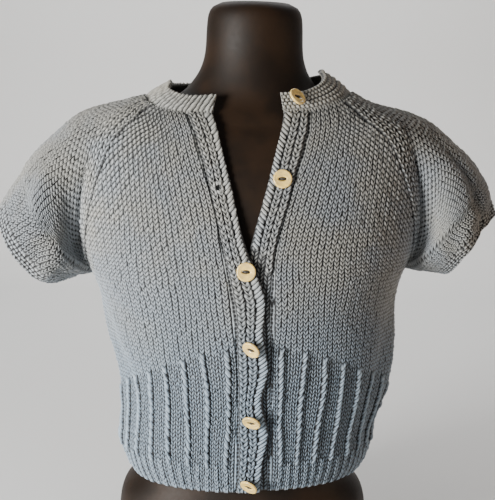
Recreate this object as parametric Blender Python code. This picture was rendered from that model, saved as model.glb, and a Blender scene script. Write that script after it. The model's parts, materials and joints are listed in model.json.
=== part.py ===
"""Short-sleeved raglan cardigan, hand knitted, worn on a limbless dress form.

Metres, +Z up. The garment faces -Y, so +X is on the viewer's right. The form stands on z = 0.
Run with: blender --background --python part.py
"""

from math import acos, asin, copysign, cos, degrees, hypot, pi, radians, sin

import bmesh
import bpy
from mathutils import Matrix, Vector

# Cloth
WALL = 0.0025
SEAM_HALF_GAP = 0.00015
UNDERARM_Z = 0.318
WELT_RIB_PITCH_COLUMNS = 4
WELT_RIBS_ON_A_FRONT = 9
WELT_RIB_HEIGHT = 0.0024
HEM_RIB_HEIGHT = 0.0014
HEM_RIB_TOP_Z = 0.129
RAGLAN_WALES = 3
RAGLAN_WALE_WIDTH = 0.0078
RAGLAN_WALE_HEIGHT = 0.0015
CUFF_DEPTH = 0.013
CUFF_RIDGE_HEIGHT = 0.0012
BAND_WALE_HEIGHT = 0.0012
OVERLAP_LIFT = 0.0031
OVERLAP_FADE_WIDTH = 0.045
OVERLAP_FADE_LOW_Z = 0.350
OVERLAP_FADE_HIGH_Z = 0.415
NECKBAND_WALL = 0.0028
NECKBAND_CORD_HEIGHT = 0.0017
NECKBAND_BOW = 0.0012

# How the garment hangs on the form: a little low and to the left of the photo
TILT = 0.040
TILT_AT_THE_SHOULDERS = 0.012
TILT_FADE_LOW_Z = 0.355
TILT_FADE_HIGH_Z = 0.455
NECK_SHIFT = 0.0050
NECK_SHIFT_LOW_Z = 0.455
NECK_SHIFT_HIGH_Z = 0.490
NECK_SHIFT_WIDTH = 0.080
NECK_TILT = 0.045
NECK_TILT_FADE_X = (0.085, 0.130)

# Rows and columns of the wall meshes
BODY_LEVELS = (0.104, 0.126, 0.131, 0.158, 0.184, 0.208, 0.230, 0.250, 0.282)
YOKE_LEVELS = 12
FRONT_COLUMNS = WELT_RIB_PITCH_COLUMNS * WELT_RIBS_ON_A_FRONT
BACK_COLUMNS = 2 * FRONT_COLUMNS
SLEEVE_COLUMNS = 28
ARM_LEVELS = 3
NECKBAND_COLUMNS = 84
NECKBAND_LEVELS = 4
BAND_COLUMNS = 6
SEAM_BLEND = 0.012

# Buttons
BUTTON_RADIUS = 0.0090
BUTTON_THICKNESS = 0.0026
BUTTON_EDGE_ROUND = 0.0007
BUTTON_SLOT_LENGTH = 0.0092
BUTTON_SLOT_WIDTH = 0.0046
BUTTON_SLOT_DEPTH = 0.0007
BUTTON_SIDES = 20
BUTTONHOLE_X = -0.0300
BUTTONHOLE_Z = 0.404
BUTTONHOLE_RADIUS = 0.0030

# Dress form, from its flat base to the rounded top of its neck
FORM_ROWS = (  # z, half_width, front, back, power
    (0.000, 0.1320, 0.092, 0.101, 2.3),
    (0.050, 0.1325, 0.090, 0.099, 2.3),
    (0.075, 0.1285, 0.087, 0.095, 2.3),
    (0.098, 0.1130, 0.084, 0.089, 2.3),
    (0.150, 0.1080, 0.082, 0.080, 2.2),
    (0.200, 0.1130, 0.088, 0.081, 2.2),
    (0.250, 0.1290, 0.101, 0.088, 2.2),
    (0.290, 0.1450, 0.112, 0.096, 2.25),
    (0.314, 0.1535, 0.1160, 0.101, 2.3),
    (0.345, 0.1640, 0.1140, 0.106, 2.3),
    (0.380, 0.1730, 0.1057, 0.107, 2.3),
    (0.415, 0.1777, 0.0933, 0.103, 2.3),
    (0.440, 0.1780, 0.0812, 0.095, 2.3),
    (0.452, 0.1740, 0.0745, 0.089, 2.3),
    (0.460, 0.1665, 0.0685, 0.084, 2.3),
    (0.4665, 0.1560, 0.0650, 0.081, 2.3),
    (0.4715, 0.1400, 0.0620, 0.078, 2.25),
    (0.4755, 0.1200, 0.0595, 0.0755, 2.2),
    (0.4795, 0.1010, 0.0570, 0.0725, 2.15),
    (0.485, 0.0850, 0.0545, 0.0690, 2.1),
    (0.493, 0.0720, 0.0520, 0.0650, 2.05),
    (0.503, 0.0625, 0.0500, 0.0600, 2.0),
    (0.516, 0.0545, 0.0480, 0.0545, 2.0),
    (0.532, 0.0500, 0.0465, 0.0500, 2.0),
    (0.560, 0.0485, 0.0460, 0.0480, 2.0),
    (0.571, 0.0470, 0.0445, 0.0465, 2.0),
    (0.578, 0.0430, 0.0405, 0.0425, 2.0),
    (0.582, 0.0350, 0.0330, 0.0345, 2.0),
)
FORM_SIDES = 36

# Inner face of the cloth round the body, with the two sides as they hang in the photo
BODY_ROWS = (  # z, left, right, front, back, power
    (0.103, 0.1140, 0.1200, 0.0935, 0.0960, 2.3),
    (0.118, 0.1220, 0.1285, 0.0985, 0.1000, 2.3),
    (0.135, 0.1275, 0.1315, 0.1010, 0.1010, 2.3),
    (0.152, 0.1270, 0.1325, 0.1025, 0.1005, 2.3),
    (0.176, 0.1250, 0.1400, 0.1040, 0.1000, 2.3),
    (0.202, 0.1260, 0.1465, 0.1060, 0.0995, 2.3),
    (0.226, 0.1300, 0.1485, 0.1090, 0.1005, 2.3),
    (0.251, 0.1385, 0.1485, 0.1125, 0.1020, 2.3),
    (0.276, 0.1450, 0.1480, 0.1160, 0.1040, 2.3),
    (0.298, 0.1505, 0.1520, 0.1180, 0.1060, 2.3),
    (0.318, 0.1590, 0.1590, 0.1180, 0.1075, 2.3),
    (0.345, 0.1690, 0.1690, 0.1160, 0.1090, 2.3),
    (0.380, 0.1760, 0.1760, 0.1070, 0.1085, 2.3),
    (0.415, 0.1800, 0.1800, 0.0945, 0.1045, 2.3),
    (0.440, 0.1815, 0.1815, 0.0830, 0.0970, 2.3),
    (0.452, 0.1790, 0.1790, 0.0770, 0.0920, 2.3),
    (0.465, 0.1690, 0.1690, 0.0705, 0.0860, 2.3),
    (0.474, 0.1480, 0.1480, 0.0645, 0.0820, 2.3),
    (0.482, 0.1220, 0.1220, 0.0600, 0.0790, 2.3),
    (0.489, 0.1030, 0.1030, 0.0565, 0.0765, 2.3),
    (0.497, 0.0885, 0.0885, 0.0530, 0.0735, 2.3),
)

# Sleeve rows from the neck, t = 0, past the underarm, t = 1, to the cuff, t = 2
SLEEVE_ROWS = (  # t, low_x, low_z, wrap_degrees, half_depth, top_x, top_z
    (0.00, 0.094, 0.4860, -50.0, 0.0455, 0.1045, 0.4885),
    (0.10, 0.104, 0.4805, -46.0, 0.0500, 0.1140, 0.4845),
    (0.21, 0.120, 0.4735, -40.0, 0.0550, 0.1260, 0.4800),
    (0.31, 0.138, 0.4635, -31.0, 0.0545, 0.1470, 0.4750),
    (0.40, 0.152, 0.4510, -20.0, 0.0515, 0.1630, 0.4705),
    (0.49, 0.160, 0.4350, -2.0, 0.0495, 0.1760, 0.4635),
    (0.59, 0.165, 0.4150, 20.0, 0.0510, 0.1865, 0.4525),
    (0.70, 0.168, 0.3920, 38.0, 0.0555, 0.1950, 0.4425),
    (0.79, 0.170, 0.3720, 51.0, 0.0595, 0.2020, 0.4355),
    (0.88, 0.167, 0.3500, 64.0, 0.0630, 0.2095, 0.4275),
    (0.95, 0.163, 0.3330, 76.0, 0.0650, 0.2155, 0.4200),
    (1.00, 0.159, 0.3180, 90.0, 0.0660, 0.2195, 0.4130),
    (1.35, 0.174, 0.3125, 90.0, 0.0645, 0.2325, 0.3970),
    (1.70, 0.190, 0.3070, 90.0, 0.0615, 0.2440, 0.3830),
    (2.00, 0.204, 0.3030, 90.0, 0.0580, 0.2515, 0.3735),
)

# Under the arm a sleeve leaves the body sideways before it turns round the arm
SLEEVE_AXIS = (0.80, -0.60)
GUSSET_AXIS = (0.98, -0.20)
GUSSET_REACH = 0.024
GUSSET_PUSH = 0.0125
GUSSET_START_T = 0.30

# How each cuff hangs off the even cut, and how its front edge bows along the arm
CUFF_HANG = {  # side: low_x, low_z, top_x, top_z
    -1: (0.000, -0.0015, 0.0030, 0.0075),
    1: (0.000, 0.0045, -0.0045, -0.0065),
}
CUFF_BOW = {-1: 0.0055, 1: -0.0070}
CUFF_BOW_ANGLE = 5.0
CUFF_BOW_WIDTH = 75.0

# Soft folds in the sleeves: where they run, and how far they push the cloth out
SLEEVE_FOLDS = (  # side, t_start, t_end, angle_start, angle_end, width_degrees, push
    (-1, 0.75, 2.10, -22.0, -40.0, 17.0, 0.0060),
    (-1, 0.70, 2.10, -62.0, -78.0, 20.0, -0.0050),
    (-1, 0.45, 1.60, 30.0, 42.0, 16.0, -0.0025),
    (1, 0.40, 1.95, 38.0, 26.0, 15.0, -0.0050),
    (1, 1.05, 2.10, 2.0, -6.0, 17.0, 0.0060),
    (1, 1.40, 2.20, 30.0, 22.0, 11.0, -0.0045),
    (1, 1.50, 2.20, 66.0, 56.0, 15.0, 0.0045),
    (-1, 0.80, 2.10, 214.0, 226.0, 20.0, 0.0045),
    (1, 0.80, 2.10, 206.0, 216.0, 22.0, 0.0045),
)

# Soft folds in the body: where they run, and how far they push the cloth out
BODY_FOLDS = (  # angle_low, z_low, angle_high, z_high, width_degrees, push
    (160.0, 0.150, 176.0, 0.300, 9.0, 0.0035),
    (146.0, 0.170, 163.0, 0.300, 9.0, -0.0020),
    (22.0, 0.140, 8.0, 0.300, 9.0, 0.0030),
    (38.0, 0.160, 22.0, 0.290, 9.0, -0.0020),
    (248.0, 0.130, 238.0, 0.300, 12.0, 0.0040),
    (292.0, 0.130, 303.0, 0.300, 12.0, 0.0040),
    (270.0, 0.120, 270.0, 0.260, 13.0, -0.0030),
)

# Front bands: the line where each joins its front, and its free edge
BUTTONHOLE_BAND_ROWS = (  # z, seam_x, edge_x
    (0.103, -0.0080, 0.0160),
    (0.142, -0.0080, 0.0185),
    (0.167, -0.0080, 0.0225),
    (0.201, -0.0080, 0.0160),
    (0.232, -0.0090, 0.0205),
    (0.270, -0.0120, 0.0150),
    (0.302, -0.0160, 0.0155),
    (0.325, -0.0200, 0.0085),
    (0.344, -0.0240, 0.0000),
    (0.371, -0.0300, -0.0090),
    (0.403, -0.0395, -0.0170),
    (0.439, -0.0520, -0.0280),
    (0.473, -0.0630, -0.0370),
)
BUTTON_BAND_ROWS = (  # z, seam_x, edge_x
    (0.103, 0.0280, 0.0000),
    (0.200, 0.0270, -0.0010),
    (0.269, 0.0260, -0.0020),
    (0.308, 0.0250, -0.0020),
    (0.338, 0.0255, -0.0010),
    (0.358, 0.0290, 0.0030),
    (0.381, 0.0345, 0.0090),
    (0.408, 0.0420, 0.0160),
    (0.436, 0.0510, 0.0225),
    (0.463, 0.0570, 0.0290),
    (0.473, 0.0590, 0.0310),
)
BAND_TOP_Z = 0.473

# Top edges of the panels, where the neckband joins them
BACK_NECK_Z = 0.486

# Heights where the welt's ribs end, counted from the centre front to the side and centre back
WELT_TOPS = (  # distance_share, z
    (0.00, 0.252),
    (0.12, 0.246),
    (0.25, 0.238),
    (0.40, 0.229),
    (0.55, 0.216),
    (0.70, 0.204),
    (0.85, 0.192),
    (1.00, 0.182),
)
BACK_WELT_TOP_Z = 0.205

# Neckband by the angle round the neck from the centre front: its gap at the seam, which is wider
# where it turns the raglan corners, and how far it leans in and rises on the left and on the right
NECKBAND_ROWS = (  # angle, gap, left_inward, left_rise, right_inward, right_rise
    (0.0, 0.0006, 0.0075, 0.0190, 0.0075, 0.0190),
    (45.0, 0.0006, 0.0100, 0.0180, 0.0110, 0.0195),
    (80.0, 0.0022, 0.0275, 0.0165, 0.0335, 0.0235),
    (110.0, 0.0016, 0.0230, 0.0165, 0.0290, 0.0215),
    (150.0, 0.0007, 0.0110, 0.0170, 0.0115, 0.0175),
    (180.0, 0.0006, 0.0095, 0.0185, 0.0095, 0.0185),
)

# Buttons by their centres; the first two sit on the left front, the rest hold both bands
BUTTON_ROWS = (  # x, z, lean_sideways_degrees, lean_up_degrees, stand_off, layer
    (0.0438, 0.4940, 32.0, -18.0, 0.0045, "neckband"),
    (0.0295, 0.4115, 0.0, 6.0, 0.0012, "button_band"),
    (-0.0020, 0.3290, 0.0, 0.0, 0.0003, "buttonhole_band"),
    (0.0048, 0.2565, -32.0, 22.0, 0.0049, "buttonhole_band"),
    (0.0066, 0.1818, -21.0, 34.0, 0.0051, "buttonhole_band"),
    (0.0060, 0.1158, -28.0, 21.0, 0.0047, "buttonhole_band"),
)

# Finishes
YARN_BLUE = (0.36, 0.43, 0.50, 1.0)
FORM_BROWN = (0.020, 0.014, 0.011, 1.0)
SHELL_CREAM = (0.78, 0.70, 0.48, 1.0)


def clear_scene():
    for item in list(bpy.data.objects):
        bpy.data.objects.remove(item, do_unlink=True)


def make_finish(name, colour, roughness, metallic=0.0):
    finish = bpy.data.materials.new(name)
    finish.use_nodes = True
    shader = finish.node_tree.nodes["Principled BSDF"]
    shader.inputs["Base Color"].default_value = colour
    shader.inputs["Roughness"].default_value = roughness
    shader.inputs["Metallic"].default_value = metallic
    finish.diffuse_color = colour
    return finish


def between(rows, key):
    """The columns of a table at a key, on a smooth curve through its rows."""
    if key <= rows[0][0]:
        return rows[0][1:]
    if key >= rows[-1][0]:
        return rows[-1][1:]
    i = max(n for n in range(len(rows) - 1) if rows[n][0] <= key)
    a, b = rows[i], rows[i + 1]
    before, after = rows[max(i - 1, 0)], rows[min(i + 2, len(rows) - 1)]
    span = b[0] - a[0]
    share = (key - a[0]) / span
    columns = []
    for column in range(1, len(a)):
        slope_a = (b[column] - before[column]) / (b[0] - before[0]) * span
        slope_b = (after[column] - a[column]) / (after[0] - a[0]) * span
        columns.append(
            a[column] * (2 * share**3 - 3 * share**2 + 1)
            + slope_a * (share**3 - 2 * share**2 + share)
            + b[column] * (3 * share**2 - 2 * share**3)
            + slope_b * (share**3 - share**2)
        )
    return columns


def ease(share):
    """A smooth step from 0 to 1."""
    share = min(max(share, 0.0), 1.0)
    return share * share * (3 - 2 * share)


def ring_point(left, right, front, back, power, angle, z):
    """A point on a level ring; angle 0 is +X and 90 degrees is the front, at -Y."""
    across, along = cos(angle), sin(angle)
    reach_x = right if across > 0 else left
    reach_y = front if along > 0 else back
    return Vector(
        (
            reach_x * copysign(abs(across) ** (2 / power), across),
            -reach_y * copysign(abs(along) ** (2 / power), along),
            z,
        )
    )


def angle_off(angle, other):
    """The difference of two angles, in degrees from -180 to 180."""
    return (degrees(angle) - other + 180.0) % 360.0 - 180.0


def hang(point):
    """Moves a point of the garment to where the worn garment hangs, off its even cut."""
    fade = ease((point.z - TILT_FADE_LOW_Z) / (TILT_FADE_HIGH_Z - TILT_FADE_LOW_Z))
    tilt = TILT + (TILT_AT_THE_SHOULDERS - TILT) * fade
    high = ease((point.z - NECK_SHIFT_LOW_Z) / (NECK_SHIFT_HIGH_Z - NECK_SHIFT_LOW_Z))
    shift = NECK_SHIFT * high * ease(abs(point.x) / NECK_SHIFT_WIDTH)
    start, end = NECK_TILT_FADE_X
    tilt += NECK_TILT * high * (1 - ease((abs(point.x) - start) / (end - start)))
    return Vector((point.x - shift, point.y, point.z + tilt * point.x))


def body_fold(z, angle):
    """How far the body's soft folds push the cloth out at a place."""
    push = 0.0
    for angle_low, z_low, angle_high, z_high, width, depth in BODY_FOLDS:
        share = (z - z_low) / (z_high - z_low)
        if 0 < share < 1:
            off = angle_off(angle, angle_low + (angle_high - angle_low) * share) / width
            push += depth * sin(pi * share) * max(0.0, 1 - off * off) ** 2
    return push


def overlap_lift(z, angle):
    """How far the buttonhole side stands out, to lie on the button band."""
    point = ring_point(*between(BODY_ROWS, z), angle, z)
    seam_x = between(BUTTONHOLE_BAND_ROWS, z)[0]
    share = (point.x - (seam_x - OVERLAP_FADE_WIDTH)) / OVERLAP_FADE_WIDTH
    height = (z - OVERLAP_FADE_LOW_Z) / (OVERLAP_FADE_HIGH_Z - OVERLAP_FADE_LOW_Z)
    return OVERLAP_LIFT * ease(share) * (1 - ease(height))


def body_point(z, angle, lifted=False):
    """A point on the inner face of the cloth round the body."""
    point = ring_point(*between(BODY_ROWS, z), angle, z)
    push = body_fold(z, angle)
    if lifted:
        push += overlap_lift(z, angle)
    outward = Vector((point.x, point.y, 0)).normalized()
    return point + outward * push


def body_normal(z, angle, lifted=False):
    """The cloth's outward normal at a place on the body."""
    step_z, step_angle = 0.0008, radians(0.8)
    round_it = body_point(z, angle - step_angle, lifted) - body_point(z, angle + step_angle, lifted)
    up = body_point(z + step_z, angle, lifted) - body_point(z - step_z, angle, lifted)
    return round_it.cross(up).normalized()


def angle_at_x(z, x):
    """The angle on the front of the body's ring where it passes x."""
    left, right, _, _, power = between(BODY_ROWS, z)
    reach = right if x > 0 else left
    return acos(copysign(min(abs(x) / reach, 1.0) ** (power / 2), x))


def angle_at_depth(z, depth, face):
    """The angle on the +X side of the ring at a distance in front of y = 0, or behind it."""
    _, _, front, back, power = between(BODY_ROWS, z)
    reach = front if face > 0 else back
    return face * asin(min(depth / reach, 1.0) ** (power / 2))


def mirrored(angle, side):
    return angle if side > 0 else pi - angle


def raglan_seam(side, face, t):
    """The height and body angle of a raglan line; side is 1 for +X, face is 1 for the front."""
    _, z, wrap, depth, _, _ = between(SLEEVE_ROWS, t)
    return z, mirrored(angle_at_depth(z, depth * cos(radians(wrap)), face), side)


def sleeve_fold(side, t, angle):
    """How far the sleeve's soft folds push the cloth out at a place."""
    push = 0.0
    for fold_side, start, end, angle_start, angle_end, width, depth in SLEEVE_FOLDS:
        share = (t - start) / (end - start)
        if fold_side == side and 0 < share < 1:
            off = (degrees(angle) - angle_start - (angle_end - angle_start) * share) / width
            push += depth * sin(pi * share) * max(0.0, 1 - off * off) ** 2
    return push


def sleeve_point(side, t, share):
    """A point on the inner face of a sleeve; share runs from the front seam to the back one."""
    low_x, low_z, wrap, depth, top_x, top_z = between(SLEEVE_ROWS, t)
    shifts = [shift * ease(t - 1) for shift in CUFF_HANG[side]]
    low_x, low_z, top_x, top_z = (a + b for a, b in zip((low_x, low_z, top_x, top_z), shifts))
    wrap = radians(wrap)
    angle = -wrap + (pi + 2 * wrap) * share
    ends = {}
    for face in (1, -1):
        if t < 1:
            ends[face] = body_point(*raglan_seam(side, face, t), lifted=False)
        else:
            ends[face] = Vector((side * low_x, 0, low_z))
    middle = (ends[1] + ends[-1]) / 2
    low = Vector((middle.x, 0, low_z))
    top = Vector((side * top_x, 0, top_z))
    rise = (top - low) / (1 + sin(wrap))
    point = top - rise + rise * sin(angle) - Vector((0, depth * cos(angle), 0))
    near_end = ((1 - sin(angle)) / (1 + sin(wrap))) ** 2 if t < 1 else 0.0
    end = ends[1] if share < 0.5 else ends[-1]
    point.x += (end.x - low.x) * near_end
    exact_depth = depth * cos(wrap)
    if t < 1 and exact_depth > 0.001:
        point.y *= 1 + (abs(end.y) / exact_depth - 1) * near_end
    outward = rise.normalized() * sin(angle) - Vector((0, cos(angle), 0))
    axis = Vector((side * SLEEVE_AXIS[0], 0, SLEEVE_AXIS[1]))
    gusset = Vector((side * GUSSET_AXIS[0], 0, GUSSET_AXIS[1]))
    girth = (pi + 2 * wrap) * (depth + rise.length) / 2
    slide = gusset * gusset_slide(t, girth * abs((share + 0.5) % 1 - 0.5))
    off = angle_off(angle, CUFF_BOW_ANGLE) / CUFF_BOW_WIDTH
    slide += axis * CUFF_BOW[side] * ease((t - 1.1) / 0.9) * max(0.0, 1 - off * off) ** 2
    return point + outward * sleeve_fold(side, t, angle) + slide


def gusset_slide(t, distance):
    """How far a sleeve's course slides down the arm, by its distance from the nearer seam."""
    share = min(distance / GUSSET_REACH, 1.0)
    spread = share * (2 - share)
    if t <= 1:
        return GUSSET_PUSH * ease((t - GUSSET_START_T) / 0.5) * spread
    closing = ease((t - 1) / 0.7)
    return GUSSET_PUSH * (1 - ease(t - 1)) * (spread + (1 - spread) * closing)


def sleeve_normal(side, t, share):
    """The sleeve's outward normal at a place."""
    step = 0.004
    low_t, high_t = max(t - step, 0.0), min(t + step, 2.0)
    low_share, high_share = max(share - step, 0.0), min(share + step, 1.0)
    if t >= 1:
        low_share, high_share = share - step, share + step
    along = sleeve_point(side, high_t, share) - sleeve_point(side, low_t, share)
    round_it = sleeve_point(side, t, high_share) - sleeve_point(side, t, low_share)
    normal = along.cross(round_it) * side
    return normal.normalized()


def seam_normal(side, face, t):
    """The direction that both walls share along a raglan seam."""
    z, angle = raglan_seam(side, face, t)
    share = 0.03 if face > 0 else 0.97
    return (body_normal(z, angle) + sleeve_normal(side, min(t, 0.97), share)).normalized()


def blended(own, seam, distance):
    """A wall's direction, turning from its seam's to its own over a short distance."""
    return seam.lerp(own, ease(distance / SEAM_BLEND)).normalized()


def wall_mesh(name, inner, outer, column_step, closed_from=None):
    """A closed wall between two grids of points; its plain inner face keeps only some columns.

    From the row closed_from on, the rows are rings whose last point is their first.
    The sides at a seam are cut into triangles by height, so that both walls of the seam match.
    """
    rows, columns = len(outer), len(outer[0]) - 1
    closed_from = rows if closed_from is None else closed_from
    mesh = bmesh.new()
    kept = sorted(set(range(0, columns, column_step)) | {columns})
    spans = list(zip(kept, kept[1:]))

    def points_of(grid, wanted):
        found = []
        for j, row in enumerate(grid):
            line = {i: mesh.verts.new(hang(row[i])) for i in wanted if i < columns or j < closed_from}
            line.setdefault(columns, line[0])
            found.append(line)
        return found

    outside = points_of(outer, range(columns + 1))
    inside = points_of(inner, kept)
    for low, high in zip(outside, outside[1:]):
        for i in range(columns):
            mesh.faces.new((low[i], low[i + 1], high[i + 1], high[i]))
    for low, high in zip(inside, inside[1:]):
        for i, k in spans:
            mesh.faces.new((low[i], high[i], high[k], low[k]))
    for i, k in spans:
        mesh.faces.new([inside[0][i], inside[0][k]] + [outside[0][n] for n in range(k, i - 1, -1)])
        mesh.faces.new([inside[-1][k], inside[-1][i]] + [outside[-1][n] for n in range(i, k + 1)])
    for j in range(min(closed_from, rows - 1)):
        for column in (0, columns):
            lower, upper = sorted((j, j + 1), key=lambda row: inside[row][column].co.z)
            mesh.faces.new((inside[lower][column], outside[lower][column], outside[upper][column]))
            mesh.faces.new((inside[lower][column], outside[upper][column], inside[upper][column]))
    return finished_mesh(name, mesh)


def finished_mesh(name, mesh):
    """The mesh of a closed solid, with its faces turned outward."""
    bmesh.ops.recalc_face_normals(mesh, faces=mesh.faces[:])
    if mesh.calc_volume(signed=True) < 0:
        bmesh.ops.reverse_faces(mesh, faces=mesh.faces[:])
    data = bpy.data.meshes.new(name)
    mesh.to_mesh(data)
    mesh.free()
    return data


def add_object(name, data, finish):
    data.materials.append(finish)
    data.shade_smooth()
    data.set_sharp_from_angle(angle=radians(40))
    item = bpy.data.objects.new(name, data)
    bpy.context.scene.collection.objects.link(item)
    return item


def spaced_places(places, shares):
    """Height and angle pairs at shares of a course's length, given by its fine places."""
    points = [body_point(z, angle) for z, angle in places]
    reach = [0.0]
    for a, b in zip(points, points[1:]):
        reach.append(reach[-1] + (b - a).length)
    found, i = [], 0
    for wanted in shares:
        wanted *= reach[-1]
        while i < len(reach) - 2 and reach[i + 1] < wanted:
            i += 1
        share = (wanted - reach[i]) / (reach[i + 1] - reach[i])
        (z_a, angle_a), (z_b, angle_b) = places[i], places[i + 1]
        found.append((z_a + (z_b - z_a) * share, angle_a + (angle_b - angle_a) * share))
    return found, reach[-1]


def level_list():
    """The courses of the body: height for the lower ones, and t for those beside a sleeve."""
    return [(z, None) for z in BODY_LEVELS] + [(None, 1 - n / YOKE_LEVELS) for n in range(YOKE_LEVELS + 1)]


def yoke_height(t, top_z):
    """The height at the middle of a panel of the course that meets the sleeve at t."""
    return UNDERARM_Z + (top_z - UNDERARM_Z) * (1 - t) ** 0.9


def band_rows(side):
    return BUTTON_BAND_ROWS if side > 0 else BUTTONHOLE_BAND_ROWS


def front_course(side, level):
    """Fine places along a course of a front, from its band to its side."""
    z, t = level
    if t is None:
        inner_z, side_z, side_angle = z, z, mirrored(0.0, side)
    else:
        side_z, side_angle = raglan_seam(side, 1, t)
        inner_z = yoke_height(t, BAND_TOP_Z)
    start = angle_at_x(inner_z, between(band_rows(side), inner_z)[0])
    return [
        (inner_z + (side_z - inner_z) * n / 40, start + (side_angle - start) * n / 40) for n in range(41)
    ]


def back_course(level):
    """Fine places along a course of the back, from the -X side to the +X side."""
    z, t = level
    if t is None:
        ends_z, middle_z, angle = z, z, 0.0
    else:
        ends_z, angle = raglan_seam(1, -1, t)
        middle_z = yoke_height(t, BACK_NECK_Z)
    places = []
    for n in range(81):
        share = n / 80
        bow = 1 - (2 * share - 1) ** 2
        places.append((ends_z + (middle_z - ends_z) * bow, pi - angle + (pi + 2 * angle) * share))
    return places


def column_shares(columns, length, t, both_ends):
    """Shares of a course's length for its columns, crowded along the raglan bands above the underarm."""
    even = [n / columns for n in range(columns + 1)]
    if t is None:
        return even
    count = 2 * RAGLAN_WALES
    band = min(RAGLAN_WALES * RAGLAN_WALE_WIDTH / length, 0.4)
    middle = columns - (2 * count if both_ends else count)
    start = band if both_ends else 0.0
    crowded = [band * n / count for n in range(count)] if both_ends else []
    crowded += [start + (1 - band - start) * n / middle for n in range(middle)]
    crowded += [1 - band + band * n / count for n in range(count + 1)]
    part = ease((1 - t) / 0.14)
    return [a + (b - a) * part for a, b in zip(even, crowded)]


def raglan_relief(columns_from_edge, t):
    """The raised wales that run along a raglan seam."""
    if t is None or columns_from_edge > 2 * RAGLAN_WALES:
        return 0.0
    raised = columns_from_edge in range(2, 2 * RAGLAN_WALES + 1, 2)
    return RAGLAN_WALE_HEIGHT * raised * ease((1 - t) / 0.14)


def welt_relief(column, z, top_z):
    """The height of the welt's wide ribs, or of the hem's narrow ones."""
    phase = column % WELT_RIB_PITCH_COLUMNS
    if z > top_z:
        return 0.0
    if z < HEM_RIB_TOP_Z:
        return HEM_RIB_HEIGHT if phase in (1, 3) else 0.0
    return WELT_RIB_HEIGHT if phase in (1, 2) else 0.0


def panel(name, courses, columns, raglan_ends, welt_top, lifted, finish):
    """A panel of the body, its courses given from the hem up.

    raglan_ends has the side and face of the raglan seam at the first and last columns, or None.
    welt_top gives the height where the welt's rib at a column ends.
    """
    inner, outer = [], []
    levels = level_list()
    for row, ((_, t), course) in enumerate(zip(levels, courses)):
        _, length = spaced_places(course, [1.0])
        shares = column_shares(columns, length, t, both_ends=all(raglan_ends))
        pull = SEAM_HALF_GAP / length
        shares = [pull] + shares[1:-1] + [1 - pull]
        places, _ = spaced_places(course, shares)
        inner_row, outer_row = [], []
        for column, ((height, angle), share) in enumerate(zip(places, shares)):
            if row == len(levels) - 1:
                height -= SEAM_HALF_GAP
            point = body_point(height, angle, lifted)
            normal = body_normal(height, angle, lifted)
            relief = 0.0
            if t is None and 0 < column < columns:
                relief = welt_relief(column, height, welt_top(column))
            for end, distance, steps in ((0, share, column), (1, 1 - share, columns - column)):
                if raglan_ends[end] and t is not None:
                    normal = blended(normal, seam_normal(*raglan_ends[end], t), distance * length)
                    relief += raglan_relief(steps, t) if row < len(levels) - 1 else 0.0
            inner_row.append(point)
            outer_row.append(point + normal * (WALL + relief))
        inner.append(inner_row)
        outer.append(outer_row)
    return add_object(name, wall_mesh(name, inner, outer, 6), finish)


def front_panel(side, name, finish):
    """One front, from its band to the side seam and the raglan seam."""
    courses = [front_course(side, level) for level in level_list()]
    return panel(
        name,
        courses,
        FRONT_COLUMNS,
        (None, (side, 1)),
        lambda column: between(WELT_TOPS, column / FRONT_COLUMNS)[0],
        side < 0,
        finish,
    )


def back_panel(finish):
    """The back, between the side seams and the two back raglan seams."""
    courses = [back_course(level) for level in level_list()]
    return panel(
        "back", courses, BACK_COLUMNS, ((-1, -1), (1, -1)), lambda column: BACK_WELT_TOP_Z, False, finish
    )


def sleeve_levels():
    """The t of each row of a sleeve, those of the yoke shared with the panels, and the cuff's rows."""
    yoke = [n / YOKE_LEVELS for n in range(YOKE_LEVELS + 1)]
    cuff_start = 2 - CUFF_DEPTH / 0.055
    arm = [1 + (cuff_start - 1) * n / (ARM_LEVELS + 1) for n in range(1, ARM_LEVELS + 1)]
    cuff = [cuff_start + (2 - cuff_start) * n / 4 for n in range(5)]
    return yoke, arm, cuff


def sleeve_girth(side, t):
    points = [sleeve_point(side, t, n / 24) for n in range(25)]
    return sum((b - a).length for a, b in zip(points, points[1:]))


def sleeve(side, name, finish):
    """A sleeve, cut open along the raglan seams above the underarm and a tube below it."""
    yoke, arm, cuff = sleeve_levels()
    inner, outer = [], []
    for t in yoke + arm + cuff:
        girth = sleeve_girth(side, t)
        pull = SEAM_HALF_GAP / girth if t < 1 else 0.0
        relief = CUFF_RIDGE_HEIGHT if t in (cuff[1], cuff[3]) else 0.0
        inner_row, outer_row = [], []
        for column in range(SLEEVE_COLUMNS + 1):
            share = min(max(column / SLEEVE_COLUMNS, pull), 1 - pull)
            point = sleeve_point(side, t, share)
            normal = sleeve_normal(side, t, share)
            if t <= 1:
                face = 1 if share < 0.5 else -1
                normal = blended(normal, seam_normal(side, face, t), girth * min(share, 1 - share))
            inner_row.append(point)
            outer_row.append(point + normal * (WALL + relief))
        inner.append(inner_row)
        outer.append(outer_row)
    under = len(yoke) - 1
    away = Vector((side * SLEEVE_AXIS[0], 0, SLEEVE_AXIS[1])) * SEAM_HALF_GAP * 2
    for rows in (inner, outer):
        rows[under][0] = (rows[under][0] + rows[under][-1]) / 2 + away
    return add_object(name, wall_mesh(name, inner, outer, 4, closed_from=under), finish)


def band_place(side, z, share):
    """The height and angle across a front band, from its seam to its free edge."""
    seam_x, edge_x = between(band_rows(side), z)
    return z, angle_at_x(z, seam_x + (edge_x - seam_x) * share)


def is_covered(side, z, share):
    """Whether the button band lies under the buttonhole band at a place, so its wales lie flat."""
    seam_x, edge_x = between(BUTTON_BAND_ROWS, z)
    over_x = between(BUTTONHOLE_BAND_ROWS, z)[1]
    return side > 0 and seam_x + (edge_x - seam_x) * share < over_x + 0.006


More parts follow.
